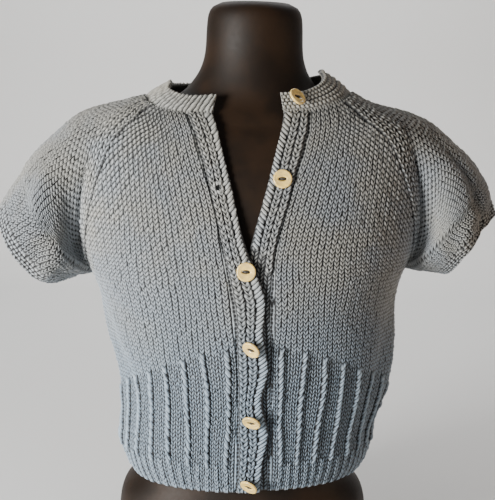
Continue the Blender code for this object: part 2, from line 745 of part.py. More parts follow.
def front_band(side, name, finish):
    """A front band, with its wales raised where they show."""
    lifted = side < 0
    levels = [z if t is None else yoke_height(t, BAND_TOP_Z) for z, t in level_list()]
    fine = []
    for low, high in zip(levels, levels[1:]):
        fine += [low, (low + high) / 2]
    fine.append(levels[-1] - SEAM_HALF_GAP)
    inner, outer = [], []
    for z in fine:
        seam_x, edge_x = between(band_rows(side), z)
        pull = SEAM_HALF_GAP / abs(edge_x - seam_x)
        inner_row, outer_row = [], []
        for column in range(BAND_COLUMNS + 1):
            share = max(column / BAND_COLUMNS, pull)
            _, angle = band_place(side, z, share)
            point = body_point(z, angle, lifted)
            raised = column % 2 == 1 and not is_covered(side, z, share)
            inner_row.append(point)
            outer_row.append(point + body_normal(z, angle, lifted) * (WALL + BAND_WALE_HEIGHT * raised))
        inner.append(inner_row)
        outer.append(outer_row)
    return add_object(name, wall_mesh(name, inner, outer, BAND_COLUMNS), finish)


def edge_normals(places, side, face, lifted):
    """Points and normals along the top of a panel; its last place is beside the raglan seam."""
    points = [body_point(z, angle, lifted) for z, angle in places]
    seam = seam_normal(side, face, 0)
    return [
        (point, blended(body_normal(z, angle, lifted), seam, (point - points[-1]).length))
        for point, (z, angle) in zip(points, places)
    ]


def neckline():
    """The seam of the neckband, from the buttonhole band round the back, in five stretches."""
    halves = []
    for side in (-1, 1):
        places = [band_place(side, BAND_TOP_Z, 1 - n / 8) for n in range(9)]
        places += front_course(side, (None, 0.0))[1:-1]
        front = edge_normals(places, side, 1, side < 0)
        over = []
        for n in range(25):
            share = n / 24
            own = sleeve_normal(side, 0.0, share)
            seam = seam_normal(side, 1 if share < 0.5 else -1, 0)
            distance = sleeve_girth(side, 0.0) * min(share, 1 - share)
            over.append((sleeve_point(side, 0.0, share), blended(own, seam, distance)))
        halves.append([front, over])
    course = back_course((None, 0.0))[1:-1]
    middle = len(course) // 2
    back = edge_normals(course[:middle][::-1], -1, -1, False)[::-1]
    back += edge_normals(course[middle:], 1, -1, False)
    front, over = halves[1]
    return [*halves[0], back, over[::-1], front[::-1]]


def reach_along(seam):
    """The distance from the seam's start to each of its points."""
    reach = [0.0]
    for (a, _), (b, _) in zip(seam, seam[1:]):
        reach.append(reach[-1] + (b - a).length)
    return reach


def neckband_shares(stretches):
    """Shares of the neckline for the neckband's columns, with one at each raglan corner."""
    reach = reach_along(sum(stretches, []))
    shares, start, last = [0.0], 0.0, -1
    for stretch in stretches:
        last += len(stretch)
        end = reach[last] / reach[-1]
        steps = round((end - start) * NECKBAND_COLUMNS)
        shares += [start + (end - start) * n / steps for n in range(1, steps + 1)]
        start = end
    return shares


def along_neckline(seam, share):
    """A point of the neckline, its normal and its direction, at a share of its length."""
    reach = reach_along(seam)
    wanted = reach[-1] * share
    i = max(n for n in range(len(reach) - 1) if reach[n] <= wanted)
    part = (wanted - reach[i]) / (reach[i + 1] - reach[i])
    near, far = max(i - 2, 0), min(i + 3, len(seam) - 1)
    return (
        seam[i][0].lerp(seam[i + 1][0], part),
        seam[i][1].lerp(seam[i + 1][1], part).normalized(),
        (seam[far][0] - seam[near][0]).normalized(),
    )


def neckband_place(seam, share, height):
    """A point on the neckband's inner face and its normal, by shares of its length and height."""
    point, seam_way, along = along_neckline(seam, share)
    round_angle = degrees(acos(max(-1.0, min(1.0, -point.y / hypot(point.x, point.y)))))
    gap, *leans = between(NECKBAND_ROWS, round_angle)
    inward, rise = leans[2:] if point.x > 0 else leans[:2]
    centre_way = Vector((-point.x, -point.y, 0)).normalized()
    slant = centre_way * inward + Vector((0, 0, rise))
    band_way = along.cross(slant).normalized()
    if band_way.dot(centre_way) > 0:
        band_way.negate()
    normal = seam_way.lerp(band_way, ease(height * 2)).normalized()
    start = gap / slant.length
    bow = sin(pi * height) * NECKBAND_BOW
    return point + slant * (start + height * (1 - start)) + normal * bow, normal


def neckband(finish):
    """The neckband, standing up and inward from the neckline, with slanting raised cords."""
    stretches = neckline()
    seam = sum(stretches, [])
    inner, outer = [], []
    for row in range(NECKBAND_LEVELS + 1):
        inner_row, outer_row = [], []
        for column, share in enumerate(neckband_shares(stretches)):
            place, normal = neckband_place(seam, share, row / NECKBAND_LEVELS)
            cord = (column + row) % 3 == 0 and 0 < row < NECKBAND_LEVELS
            inner_row.append(place)
            outer_row.append(place + normal * (NECKBAND_WALL + NECKBAND_CORD_HEIGHT * cord))
        inner.append(inner_row)
        outer.append(outer_row)
    return add_object("neckband", wall_mesh("neckband", inner, outer, 2), finish)


def dress_form(finish):
    """The limbless form, smooth and closed, with a flat base and a rounded neck top."""
    heights = []
    for low, high in zip(FORM_ROWS, FORM_ROWS[1:]):
        steps = max(1, round((high[0] - low[0]) / 0.030))
        heights += [low[0] + (high[0] - low[0]) * n / steps for n in range(steps)]
    heights.append(FORM_ROWS[-1][0])
    mesh = bmesh.new()
    rings = []
    for z in heights:
        half, front, back, power = between(FORM_ROWS, z)
        angles = [2 * pi * n / FORM_SIDES for n in range(FORM_SIDES)]
        rings.append([mesh.verts.new(ring_point(half, half, front, back, power, a, z)) for a in angles])
    for low, high in zip(rings, rings[1:]):
        for n in range(FORM_SIDES):
            k = (n + 1) % FORM_SIDES
            mesh.faces.new((low[n], low[k], high[k], high[n]))
    mesh.faces.new(rings[0])
    mesh.faces.new(rings[-1])
    return add_object("form", finished_mesh("form", mesh), finish)


def button_mesh(name):
    """A round shell button with an oval slot sunk in its face, facing +Z."""
    mesh = bmesh.new()
    edge = BUTTON_RADIUS - BUTTON_EDGE_ROUND
    slot_x, slot_y = BUTTON_SLOT_LENGTH / 2, BUTTON_SLOT_WIDTH / 2
    loops = (  # radius_x, radius_y, z
        (edge, edge, 0.0),
        (BUTTON_RADIUS, BUTTON_RADIUS, BUTTON_EDGE_ROUND),
        (BUTTON_RADIUS, BUTTON_RADIUS, BUTTON_THICKNESS - BUTTON_EDGE_ROUND),
        (edge, edge, BUTTON_THICKNESS),
        (slot_x, slot_y, BUTTON_THICKNESS),
        (slot_x * 0.85, slot_y * 0.8, BUTTON_THICKNESS - BUTTON_SLOT_DEPTH),
    )
    rings = []
    for radius_x, radius_y, z in loops:
        angles = [2 * pi * n / BUTTON_SIDES for n in range(BUTTON_SIDES)]
        rings.append([mesh.verts.new((radius_x * cos(a), radius_y * sin(a), z)) for a in angles])
    for low, high in zip(rings, rings[1:]):
        for n in range(BUTTON_SIDES):
            k = (n + 1) % BUTTON_SIDES
            mesh.faces.new((low[n], low[k], high[k], high[n]))
    mesh.faces.new(rings[0])
    mesh.faces.new(rings[-1])
    return finished_mesh(name, mesh)


def button_seat(x, z, layer):
    """A place on a band's outer face, past its raised wales, and the way it faces."""
    if layer == "neckband":
        seam = sum(neckline(), [])
        shares = [1 - n / 200 for n in range(60)]
        places = [neckband_place(seam, share, 0.55) for share in shares]
        place, facing = min(places, key=lambda pair: abs(pair[0].x - x))
        return place + facing * (NECKBAND_WALL + NECKBAND_CORD_HEIGHT), facing
    lifted = layer == "buttonhole_band"
    angle = angle_at_x(z, x)
    facing = body_normal(z, angle, lifted)
    return body_point(z, angle, lifted) + facing * (WALL + BAND_WALE_HEIGHT), facing


def buttons(finish):
    """The six buttons, each seated on the band that it shows on."""
    for number, (x, z, lean_side, lean_up, stand_off, layer) in enumerate(BUTTON_ROWS, start=1):
        seat, facing = button_seat(x, z, layer)
        item = add_object(f"button_{number}", button_mesh(f"button_{number}"), finish)
        turn = facing.to_track_quat("Z", "Y").to_matrix().to_4x4()
        lean = Matrix.Rotation(radians(lean_side), 4, "Y") @ Matrix.Rotation(radians(lean_up), 4, "X")
        item.matrix_world = Matrix.Translation(hang(seat + facing * stand_off)) @ turn @ lean


def cut_buttonhole(band):
    """Cuts the open buttonhole through the band, where no button fills it."""
    angle = angle_at_x(BUTTONHOLE_Z, BUTTONHOLE_X)
    facing = body_normal(BUTTONHOLE_Z, angle, True)
    middle = hang(body_point(BUTTONHOLE_Z, angle, True) + facing * WALL / 2)
    mesh = bmesh.new()
    bmesh.ops.create_cone(
        mesh,
        cap_ends=True,
        segments=10,
        radius1=BUTTONHOLE_RADIUS,
        radius2=BUTTONHOLE_RADIUS,
        depth=4 * WALL + 4 * BAND_WALE_HEIGHT,
    )
    cutter = bpy.data.objects.new("buttonhole_cutter", finished_mesh("buttonhole_cutter", mesh))
    bpy.context.scene.collection.objects.link(cutter)
    cutter.matrix_world = Matrix.Translation(middle) @ facing.to_track_quat("Z", "Y").to_matrix().to_4x4()
    cutter.hide_render = True
    cutter.display_type = "WIRE"
    cut = band.modifiers.new("buttonhole", "BOOLEAN")
    cut.operation = "DIFFERENCE"
    cut.solver = "EXACT"
    cut.object = cutter


def main():
    clear_scene()
    yarn = make_finish("blue_grey_yarn", YARN_BLUE, 0.95)
    dark = make_finish("dark_form", FORM_BROWN, 0.35)
    shell = make_finish("cream_shell", SHELL_CREAM, 0.25)
    dress_form(dark)
    back_panel(yarn)
    front_panel(-1, "front_right", yarn)
    front_panel(1, "front_left", yarn)
    sleeve(-1, "sleeve_right", yarn)
    sleeve(1, "sleeve_left", yarn)
    neckband(yarn)
    cut_buttonhole(front_band(-1, "buttonhole_band", yarn))
    front_band(1, "button_band", yarn)
    buttons(shell)


main()
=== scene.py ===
"""The looks of a short-sleeved raglan cardigan, hand knitted, worn on a limbless dress form.

Metres, +Z up. The garment faces -Y, so +X is on the viewer's right. The form stands on z = 0.
"""

import json
import logging
from collections.abc import Callable, Iterable, Sequence
from dataclasses import dataclass, field
from enum import IntEnum
from functools import lru_cache, partial
from itertools import accumulate
from math import acos, asin, copysign, cos, degrees, hypot, pi, radians, sin

import bmesh
import bpy
import numpy as np
from mathutils import Matrix, Vector

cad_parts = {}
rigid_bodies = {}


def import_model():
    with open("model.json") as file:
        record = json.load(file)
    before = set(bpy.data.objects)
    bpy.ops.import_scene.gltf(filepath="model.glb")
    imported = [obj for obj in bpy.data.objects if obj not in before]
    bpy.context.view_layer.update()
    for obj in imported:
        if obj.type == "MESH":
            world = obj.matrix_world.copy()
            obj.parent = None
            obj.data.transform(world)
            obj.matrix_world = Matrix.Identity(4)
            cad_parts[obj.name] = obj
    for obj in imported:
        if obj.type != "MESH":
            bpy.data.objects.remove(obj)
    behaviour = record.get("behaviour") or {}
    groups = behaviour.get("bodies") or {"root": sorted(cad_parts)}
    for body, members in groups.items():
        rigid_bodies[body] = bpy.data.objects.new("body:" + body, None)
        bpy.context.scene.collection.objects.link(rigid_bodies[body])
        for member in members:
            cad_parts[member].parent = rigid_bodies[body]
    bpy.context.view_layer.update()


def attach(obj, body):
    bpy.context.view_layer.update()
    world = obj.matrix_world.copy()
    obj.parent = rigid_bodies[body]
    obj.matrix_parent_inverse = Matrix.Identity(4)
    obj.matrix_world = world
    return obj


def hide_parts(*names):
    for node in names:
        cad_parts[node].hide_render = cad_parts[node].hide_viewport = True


Colour = tuple[float, float, float, float]
Table = tuple[tuple[float, ...], ...]
Place = tuple[float, float]  # a height and an angle round the body
Level = tuple[float | None, float | None]  # a course's height, or its t beside a sleeve
SeamPoint = tuple[Vector, Vector]  # a point and its normal
Array = np.ndarray
Share = float | Array
Point = tuple[float, float, float]
Widths = Callable[[Array], Array]
Material = bpy.types.Material
Node = bpy.types.Node
Tree = bpy.types.NodeTree
Socket = bpy.types.NodeSocket
Value = float | Socket
Seam = tuple[int, int] | None  # a side and a face

LOG = logging.getLogger("cardigan")

# Cloth, buttons and bands
WALL = 0.0025
UNDERARM_Z = 0.318
HEM_RIB_TOP_Z = 0.129
BAND_WALE_HEIGHT = 0.0012
OVERLAP_LIFT = 0.0031
OVERLAP_FADE_WIDTH = 0.045
OVERLAP_FADE_LOW_Z = 0.350
OVERLAP_FADE_HIGH_Z = 0.415
NECKBAND_WALL = 0.0028
NECKBAND_CORD_HEIGHT = 0.0017
NECKBAND_BOW = 0.0012
SEAM_BLEND = 0.012
BUTTON_RADIUS = 0.0090
BUTTON_THICKNESS = 0.0026
BUTTON_SLOT_LENGTH = 0.0092
BUTTON_SLOT_WIDTH = 0.0046
BUTTONHOLE_X = -0.0300
BUTTONHOLE_Z = 0.404
BUTTONHOLE_RADIUS = 0.0030
BAND_TOP_Z = 0.473
BACK_NECK_Z = 0.486
BACK_WELT_TOP_Z = 0.205
FINE_STEPS = 40
NECKBAND_BUTTON_HEIGHT = 0.55

# How the worn garment hangs off its even cut: higher towards +X, and moved to -X at the neck
TILT = 0.040
TILT_AT_THE_SHOULDERS = 0.012
TILT_FADE_LOW_Z = 0.355
TILT_FADE_HIGH_Z = 0.455
NECK_SHIFT = 0.0050
NECK_SHIFT_LOW_Z = 0.455
NECK_SHIFT_HIGH_Z = 0.490
NECK_SHIFT_WIDTH = 0.080
NECK_TILT = 0.045
NECK_TILT_FADE_X = (0.085, 0.130)

# Dress form, from its flat base to the rounded top of its neck
FORM_ROWS = (  # z, half_width, front, back, power
    (0.000, 0.1320, 0.092, 0.101, 2.3),
    (0.050, 0.1325, 0.090, 0.099, 2.3),
    (0.075, 0.1285, 0.087, 0.095, 2.3),
    (0.098, 0.1130, 0.084, 0.089, 2.3),
    (0.150, 0.1080, 0.082, 0.080, 2.2),
    (0.200, 0.1130, 0.088, 0.081, 2.2),
    (0.250, 0.1290, 0.101, 0.088, 2.2),
    (0.290, 0.1450, 0.112, 0.096, 2.25),
    (0.314, 0.1535, 0.1160, 0.101, 2.3),
    (0.345, 0.1640, 0.1140, 0.106, 2.3),
    (0.380, 0.1730, 0.1057, 0.107, 2.3),
    (0.415, 0.1777, 0.0933, 0.103, 2.3),
    (0.440, 0.1780, 0.0812, 0.095, 2.3),
    (0.452, 0.1740, 0.0745, 0.089, 2.3),
    (0.460, 0.1665, 0.0685, 0.084, 2.3),
    (0.4665, 0.1560, 0.0650, 0.081, 2.3),
    (0.4715, 0.1400, 0.0620, 0.078, 2.25),
    (0.4755, 0.1200, 0.0595, 0.0755, 2.2),
    (0.4795, 0.1010, 0.0570, 0.0725, 2.15),
    (0.485, 0.0850, 0.0545, 0.0690, 2.1),
    (0.493, 0.0720, 0.0520, 0.0650, 2.05),
    (0.503, 0.0625, 0.0500, 0.0600, 2.0),
    (0.516, 0.0545, 0.0480, 0.0545, 2.0),
    (0.532, 0.0500, 0.0465, 0.0500, 2.0),
    (0.560, 0.0485, 0.0460, 0.0480, 2.0),
    (0.571, 0.0470, 0.0445, 0.0465, 2.0),
    (0.578, 0.0430, 0.0405, 0.0425, 2.0),
    (0.582, 0.0350, 0.0330, 0.0345, 2.0),
)

# Inner face of the cloth round the body, which stands off the form more on the +X side of the waist
BODY_ROWS = (  # z, left, right, front, back, power
    (0.103, 0.1140, 0.1200, 0.0935, 0.0960, 2.3),
    (0.118, 0.1220, 0.1285, 0.0985, 0.1000, 2.3),
    (0.135, 0.1275, 0.1315, 0.1010, 0.1010, 2.3),
    (0.152, 0.1270, 0.1325, 0.1025, 0.1005, 2.3),
    (0.176, 0.1250, 0.1400, 0.1040, 0.1000, 2.3),
    (0.202, 0.1260, 0.1465, 0.1060, 0.0995, 2.3),
    (0.226, 0.1300, 0.1485, 0.1090, 0.1005, 2.3),
    (0.251, 0.1385, 0.1485, 0.1125, 0.1020, 2.3),
    (0.276, 0.1450, 0.1480, 0.1160, 0.1040, 2.3),
    (0.298, 0.1505, 0.1520, 0.1180, 0.1060, 2.3),
    (0.318, 0.1590, 0.1590, 0.1180, 0.1075, 2.3),
    (0.345, 0.1690, 0.1690, 0.1160, 0.1090, 2.3),
    (0.380, 0.1760, 0.1760, 0.1070, 0.1085, 2.3),
    (0.415, 0.1800, 0.1800, 0.0945, 0.1045, 2.3),
    (0.440, 0.1815, 0.1815, 0.0830, 0.0970, 2.3),
    (0.452, 0.1790, 0.1790, 0.0770, 0.0920, 2.3),
    (0.465, 0.1690, 0.1690, 0.0705, 0.0860, 2.3),
    (0.474, 0.1480, 0.1480, 0.0645, 0.0820, 2.3),
    (0.482, 0.1220, 0.1220, 0.0600, 0.0790, 2.3),
    (0.489, 0.1030, 0.1030, 0.0565, 0.0765, 2.3),
    (0.497, 0.0885, 0.0885, 0.0530, 0.0735, 2.3),
)

# Sleeve rows from the neck, t = 0, past the underarm, t = 1, to the cuff, t = 2
SLEEVE_ROWS = (  # t, low_x, low_z, wrap_degrees, half_depth, top_x, top_z
    (0.00, 0.094, 0.4860, -50.0, 0.0455, 0.1045, 0.4885),
    (0.10, 0.104, 0.4805, -46.0, 0.0500, 0.1140, 0.4845),
    (0.21, 0.120, 0.4735, -40.0, 0.0550, 0.1260, 0.4800),
    (0.31, 0.138, 0.4635, -31.0, 0.0545, 0.1470, 0.4750),
    (0.40, 0.152, 0.4510, -20.0, 0.0515, 0.1630, 0.4705),
    (0.49, 0.160, 0.4350, -2.0, 0.0495, 0.1760, 0.4635),
    (0.59, 0.165, 0.4150, 20.0, 0.0510, 0.1865, 0.4525),
    (0.70, 0.168, 0.3920, 38.0, 0.0555, 0.1950, 0.4425),
    (0.79, 0.170, 0.3720, 51.0, 0.0595, 0.2020, 0.4355),
    (0.88, 0.167, 0.3500, 64.0, 0.0630, 0.2095, 0.4275),
    (0.95, 0.163, 0.3330, 76.0, 0.0650, 0.2155, 0.4200),
    (1.00, 0.159, 0.3180, 90.0, 0.0660, 0.2195, 0.4130),
    (1.35, 0.174, 0.3125, 90.0, 0.0645, 0.2325, 0.3970),
    (1.70, 0.190, 0.3070, 90.0, 0.0615, 0.2440, 0.3830),
    (2.00, 0.204, 0.3030, 90.0, 0.0580, 0.2515, 0.3735),
)

# Under the arm a sleeve leaves the body sideways before it turns round the arm
SLEEVE_AXIS = (0.80, -0.60)
GUSSET_AXIS = (0.98, -0.20)
GUSSET_REACH = 0.024
GUSSET_PUSH = 0.0125
GUSSET_START_T = 0.30
GUSSET_RISE_T = 0.50
GUSSET_CLOSE_T = 0.70

# How each cuff hangs off the even cut, and how its front edge bows along the arm
CUFF_HANG = {  # side: low_x, low_z, top_x, top_z
    -1: (0.000, -0.0015, 0.0030, 0.0075),
    1: (0.000, 0.0045, -0.0045, -0.0065),
}
CUFF_BOW = {-1: 0.0055, 1: -0.0070}
CUFF_BOW_ANGLE = 5.0
CUFF_BOW_WIDTH = 75.0
CUFF_BOW_START_T = 1.1
CUFF_BOW_RISE_T = 0.9

# Soft folds in the sleeves: where they run, and how far they push the cloth out
SLEEVE_FOLDS = (  # side, t_start, t_end, angle_start, angle_end, width_degrees, push
    (-1, 0.75, 2.10, -22.0, -40.0, 17.0, 0.0060),
    (-1, 0.70, 2.10, -62.0, -78.0, 20.0, -0.0050),
    (-1, 0.45, 1.60, 30.0, 42.0, 16.0, -0.0025),
    (1, 0.40, 1.95, 38.0, 26.0, 15.0, -0.0050),
    (1, 1.05, 2.10, 2.0, -6.0, 17.0, 0.0060),
    (1, 1.40, 2.20, 30.0, 22.0, 11.0, -0.0045),
    (1, 1.50, 2.20, 66.0, 56.0, 15.0, 0.0045),
    (-1, 0.80, 2.10, 214.0, 226.0, 20.0, 0.0045),
    (1, 0.80, 2.10, 206.0, 216.0, 22.0, 0.0045),
)

# Soft folds in the body: where they run, and how far they push the cloth out
BODY_FOLDS = (  # angle_low, z_low, angle_high, z_high, width_degrees, push
    (160.0, 0.150, 176.0, 0.300, 9.0, 0.0035),
    (146.0, 0.170, 163.0, 0.300, 9.0, -0.0020),
    (22.0, 0.140, 8.0, 0.300, 9.0, 0.0030),
    (38.0, 0.160, 22.0, 0.290, 9.0, -0.0020),
    (248.0, 0.130, 238.0, 0.300, 12.0, 0.0040),
    (292.0, 0.130, 303.0, 0.300, 12.0, 0.0040),
    (270.0, 0.120, 270.0, 0.260, 13.0, -0.0030),
)

# Front bands: the line where each joins its front, and its free edge
BUTTONHOLE_BAND_ROWS = (  # z, seam_x, edge_x
    (0.103, -0.0080, 0.0160),
    (0.142, -0.0080, 0.0185),
    (0.167, -0.0080, 0.0225),
    (0.201, -0.0080, 0.0160),
    (0.232, -0.0090, 0.0205),
    (0.270, -0.0120, 0.0150),
    (0.302, -0.0160, 0.0155),
    (0.325, -0.0200, 0.0085),
    (0.344, -0.0240, 0.0000),
    (0.371, -0.0300, -0.0090),
    (0.403, -0.0395, -0.0170),
    (0.439, -0.0520, -0.0280),
    (0.473, -0.0630, -0.0370),
)
BUTTON_BAND_ROWS = (  # z, seam_x, edge_x
    (0.103, 0.0280, 0.0000),
    (0.200, 0.0270, -0.0010),
    (0.269, 0.0260, -0.0020),
    (0.308, 0.0250, -0.0020),
    (0.338, 0.0255, -0.0010),
    (0.358, 0.0290, 0.0030),
    (0.381, 0.0345, 0.0090),
    (0.408, 0.0420, 0.0160),
    (0.436, 0.0510, 0.0225),
    (0.463, 0.0570, 0.0290),
    (0.473, 0.0590, 0.0310),
)

# Heights where the welt's ribs end, counted from the centre front to the side and centre back
WELT_TOPS = (  # distance_share, z
    (0.00, 0.252),
    (0.12, 0.246),
    (0.25, 0.238),
    (0.40, 0.229),
    (0.55, 0.216),
    (0.70, 0.204),
    (0.85, 0.192),
    (1.00, 0.182),
)

# Neckband by the angle round the neck from the centre front: its gap at the seam, which is wider
# where it turns the raglan corners, and how far it leans in and rises on the left and on the right
NECKBAND_ROWS = (  # angle, gap, left_inward, left_rise, right_inward, right_rise
    (0.0, 0.0006, 0.0075, 0.0190, 0.0075, 0.0190),
    (45.0, 0.0006, 0.0100, 0.0180, 0.0110, 0.0195),
    (80.0, 0.0022, 0.0275, 0.0165, 0.0335, 0.0235),
    (110.0, 0.0016, 0.0230, 0.0165, 0.0290, 0.0215),
    (150.0, 0.0007, 0.0110, 0.0170, 0.0115, 0.0175),
    (180.0, 0.0006, 0.0095, 0.0185, 0.0095, 0.0185),
)

# Buttons by their centres; the first two sit on the left front, the rest hold both bands
BUTTON_ROWS = (  # x, z, lean_sideways_degrees, lean_up_degrees, stand_off, layer
    (0.0438, 0.4940, 32.0, -18.0, 0.0045, "neckband"),
    (0.0295, 0.4115, 0.0, 6.0, 0.0012, "button_band"),
    (-0.0020, 0.3290, 0.0, 0.0, 0.0003, "buttonhole_band"),
    (0.0048, 0.2565, -32.0, 22.0, 0.0049, "buttonhole_band"),
    (0.0066, 0.1818, -21.0, 34.0, 0.0051, "buttonhole_band"),
    (0.0060, 0.1158, -28.0, 21.0, 0.0047, "buttonhole_band"),
)


def between(rows: Table, key: float) -> Sequence[float]:
    """The columns of a table at a key, on a smooth curve through its rows.

    Args:
        rows: The table, by rising keys.
        key: The place in its first column.

    Returns:
        The values of the table's other columns.
    """
    if key <= rows[0][0]:
        return rows[0][1:]
    if key >= rows[-1][0]:
        return rows[-1][1:]
    i = max(n for n in range(len(rows) - 1) if rows[n][0] <= key)
    a, b = rows[i], rows[i + 1]
    before, after = rows[max(i - 1, 0)], rows[min(i + 2, len(rows) - 1)]
    span = b[0] - a[0]
    share = (key - a[0]) / span
    columns = []
    for column in range(1, len(a)):
        slope_a = (b[column] - before[column]) / (b[0] - before[0]) * span
        slope_b = (after[column] - a[column]) / (after[0] - a[0]) * span
        columns.append(
            a[column] * (2 * share**3 - 3 * share**2 + 1)
            + slope_a * (share**3 - 2 * share**2 + share)
            + b[column] * (3 * share**2 - 2 * share**3)
            + slope_b * (share**3 - share**2)
        )
    return columns


def ease(share: float) -> float:
    """A smooth step from 0 to 1."""
    share = min(max(share, 0.0), 1.0)
    return share * share * (3 - 2 * share)


def ring_point(
    left: float, right: float, front: float, back: float, power: float, angle: float, z: float
) -> Vector:
    """A point on a level ring; angle 0 is +X and 90 degrees is the front, at -Y.

    Args:
        left: The ring's reach to -X.
        right: Its reach to +X.
        front: Its reach to -Y.
        back: Its reach to +Y.
        power: Its squareness; 2 is an ellipse.
        angle: The point's angle.
        z: The ring's height.

    Returns:
        The point.
    """
    across, along = cos(angle), sin(angle)
    reach_x = right if across > 0 else left
    reach_y = front if along > 0 else back
    return Vector(
        (
            reach_x * copysign(abs(across) ** (2 / power), across),
            -reach_y * copysign(abs(along) ** (2 / power), along),
            z,
        )
    )


def angle_off(angle: float, other: float) -> float:
    """The difference of two angles, in degrees from -180 to 180."""
    return (degrees(angle) - other + 180.0) % 360.0 - 180.0


def hang(point: Vector) -> Vector:
    """Moves a point of the garment to where the worn garment hangs, off its even cut.

    Args:
        point: A point of the even cut.

    Returns:
        The same point of the worn garment.
    """
    fade = ease((point.z - TILT_FADE_LOW_Z) / (TILT_FADE_HIGH_Z - TILT_FADE_LOW_Z))
    tilt = TILT + (TILT_AT_THE_SHOULDERS - TILT) * fade
    high = ease((point.z - NECK_SHIFT_LOW_Z) / (NECK_SHIFT_HIGH_Z - NECK_SHIFT_LOW_Z))
    shift = NECK_SHIFT * high * ease(abs(point.x) / NECK_SHIFT_WIDTH)
    start, end = NECK_TILT_FADE_X
    tilt += NECK_TILT * high * (1 - ease((abs(point.x) - start) / (end - start)))
    return Vector((point.x - shift, point.y, point.z + tilt * point.x))


def body_fold(z: float, angle: float) -> float:
    """How far the body's soft folds push the cloth out at a place.

    Args:
        z: The height.
        angle: The angle round the body.

    Returns:
        The push in metres.
    """
    push = 0.0
    for angle_low, z_low, angle_high, z_high, width, depth in BODY_FOLDS:
        share = (z - z_low) / (z_high - z_low)
        if 0 < share < 1:
            off = angle_off(angle, angle_low + (angle_high - angle_low) * share) / width
            push += depth * sin(pi * share) * max(0.0, 1 - off * off) ** 2
    return push


def overlap_lift(z: float, angle: float) -> float:
    """How far the buttonhole side stands out, to lie on the button band.

    Args:
        z: The height.
        angle: The angle round the body.

    Returns:
        The lift in metres.
    """
    point = ring_point(*between(BODY_ROWS, z), angle, z)
    seam_x = between(BUTTONHOLE_BAND_ROWS, z)[0]
    share = (point.x - (seam_x - OVERLAP_FADE_WIDTH)) / OVERLAP_FADE_WIDTH
    height = (z - OVERLAP_FADE_LOW_Z) / (OVERLAP_FADE_HIGH_Z - OVERLAP_FADE_LOW_Z)
    return OVERLAP_LIFT * ease(share) * (1 - ease(height))


def body_point(z: float, angle: float, lifted: bool = False) -> Vector:
    """A point on the inner face of the cloth round the body.

    Args:
        z: The height.
        angle: The angle round the body.
        lifted: Whether the cloth lies over the button band.

    Returns:
        The point.
    """
    point = ring_point(*between(BODY_ROWS, z), angle, z)
    push = body_fold(z, angle)
    if lifted:
        push += overlap_lift(z, angle)
    outward = Vector((point.x, point.y, 0)).normalized()
    return point + outward * push


def body_normal(z: float, angle: float, lifted: bool = False) -> Vector:
    """The cloth's outward normal at a place on the body.

    Args:
        z: The height.
        angle: The angle round the body.
        lifted: Whether the cloth lies over the button band.

    Returns:
        A unit vector.
    """
    step_z, step_angle = 0.0008, radians(0.8)
    round_it = body_point(z, angle - step_angle, lifted) - body_point(z, angle + step_angle, lifted)
    up = body_point(z + step_z, angle, lifted) - body_point(z - step_z, angle, lifted)
    return round_it.cross(up).normalized()


def angle_at_x(z: float, x: float) -> float:
    """The angle on the front of the body's ring where it passes x."""
    left, right, _, _, power = between(BODY_ROWS, z)
    return acos(copysign(min(abs(x) / (right if x > 0 else left), 1.0) ** (power / 2), x))


def angle_at_depth(z: float, depth: float, face: int) -> float:
    """The angle on the +X side of the ring at a distance in front of y = 0, or behind it."""
    _, _, front, back, power = between(BODY_ROWS, z)
    return face * asin(min(depth / (front if face > 0 else back), 1.0) ** (power / 2))


def mirrored(angle: float, side: int) -> float:
    """An angle of the +X side, on the side asked for."""
    return angle if side > 0 else pi - angle


def raglan_seam(side: int, face: int, t: float) -> tuple[float, float]:
    """The height and body angle of a raglan line; side is 1 for +X, face is 1 for the front."""
    _, z, wrap, depth, _, _ = between(SLEEVE_ROWS, t)
    return z, mirrored(angle_at_depth(z, depth * cos(radians(wrap)), face), side)


def sleeve_fold(side: int, t: float, angle: float) -> float:
    """How far the sleeve's soft folds push the cloth out at a place.

    Args:
        side: 1 for +X and -1 for -X.
        t: How far down the sleeve, from 0 at the neck to 2 at the cuff.
        angle: The angle round the arm.

    Returns:
        The push in metres.
    """
    push = 0.0
    for fold_side, start, end, angle_start, angle_end, width, depth in SLEEVE_FOLDS:
        share = (t - start) / (end - start)
        if fold_side == side and 0 < share < 1:
            off = (degrees(angle) - angle_start - (angle_end - angle_start) * share) / width
            push += depth * sin(pi * share) * max(0.0, 1 - off * off) ** 2
    return push


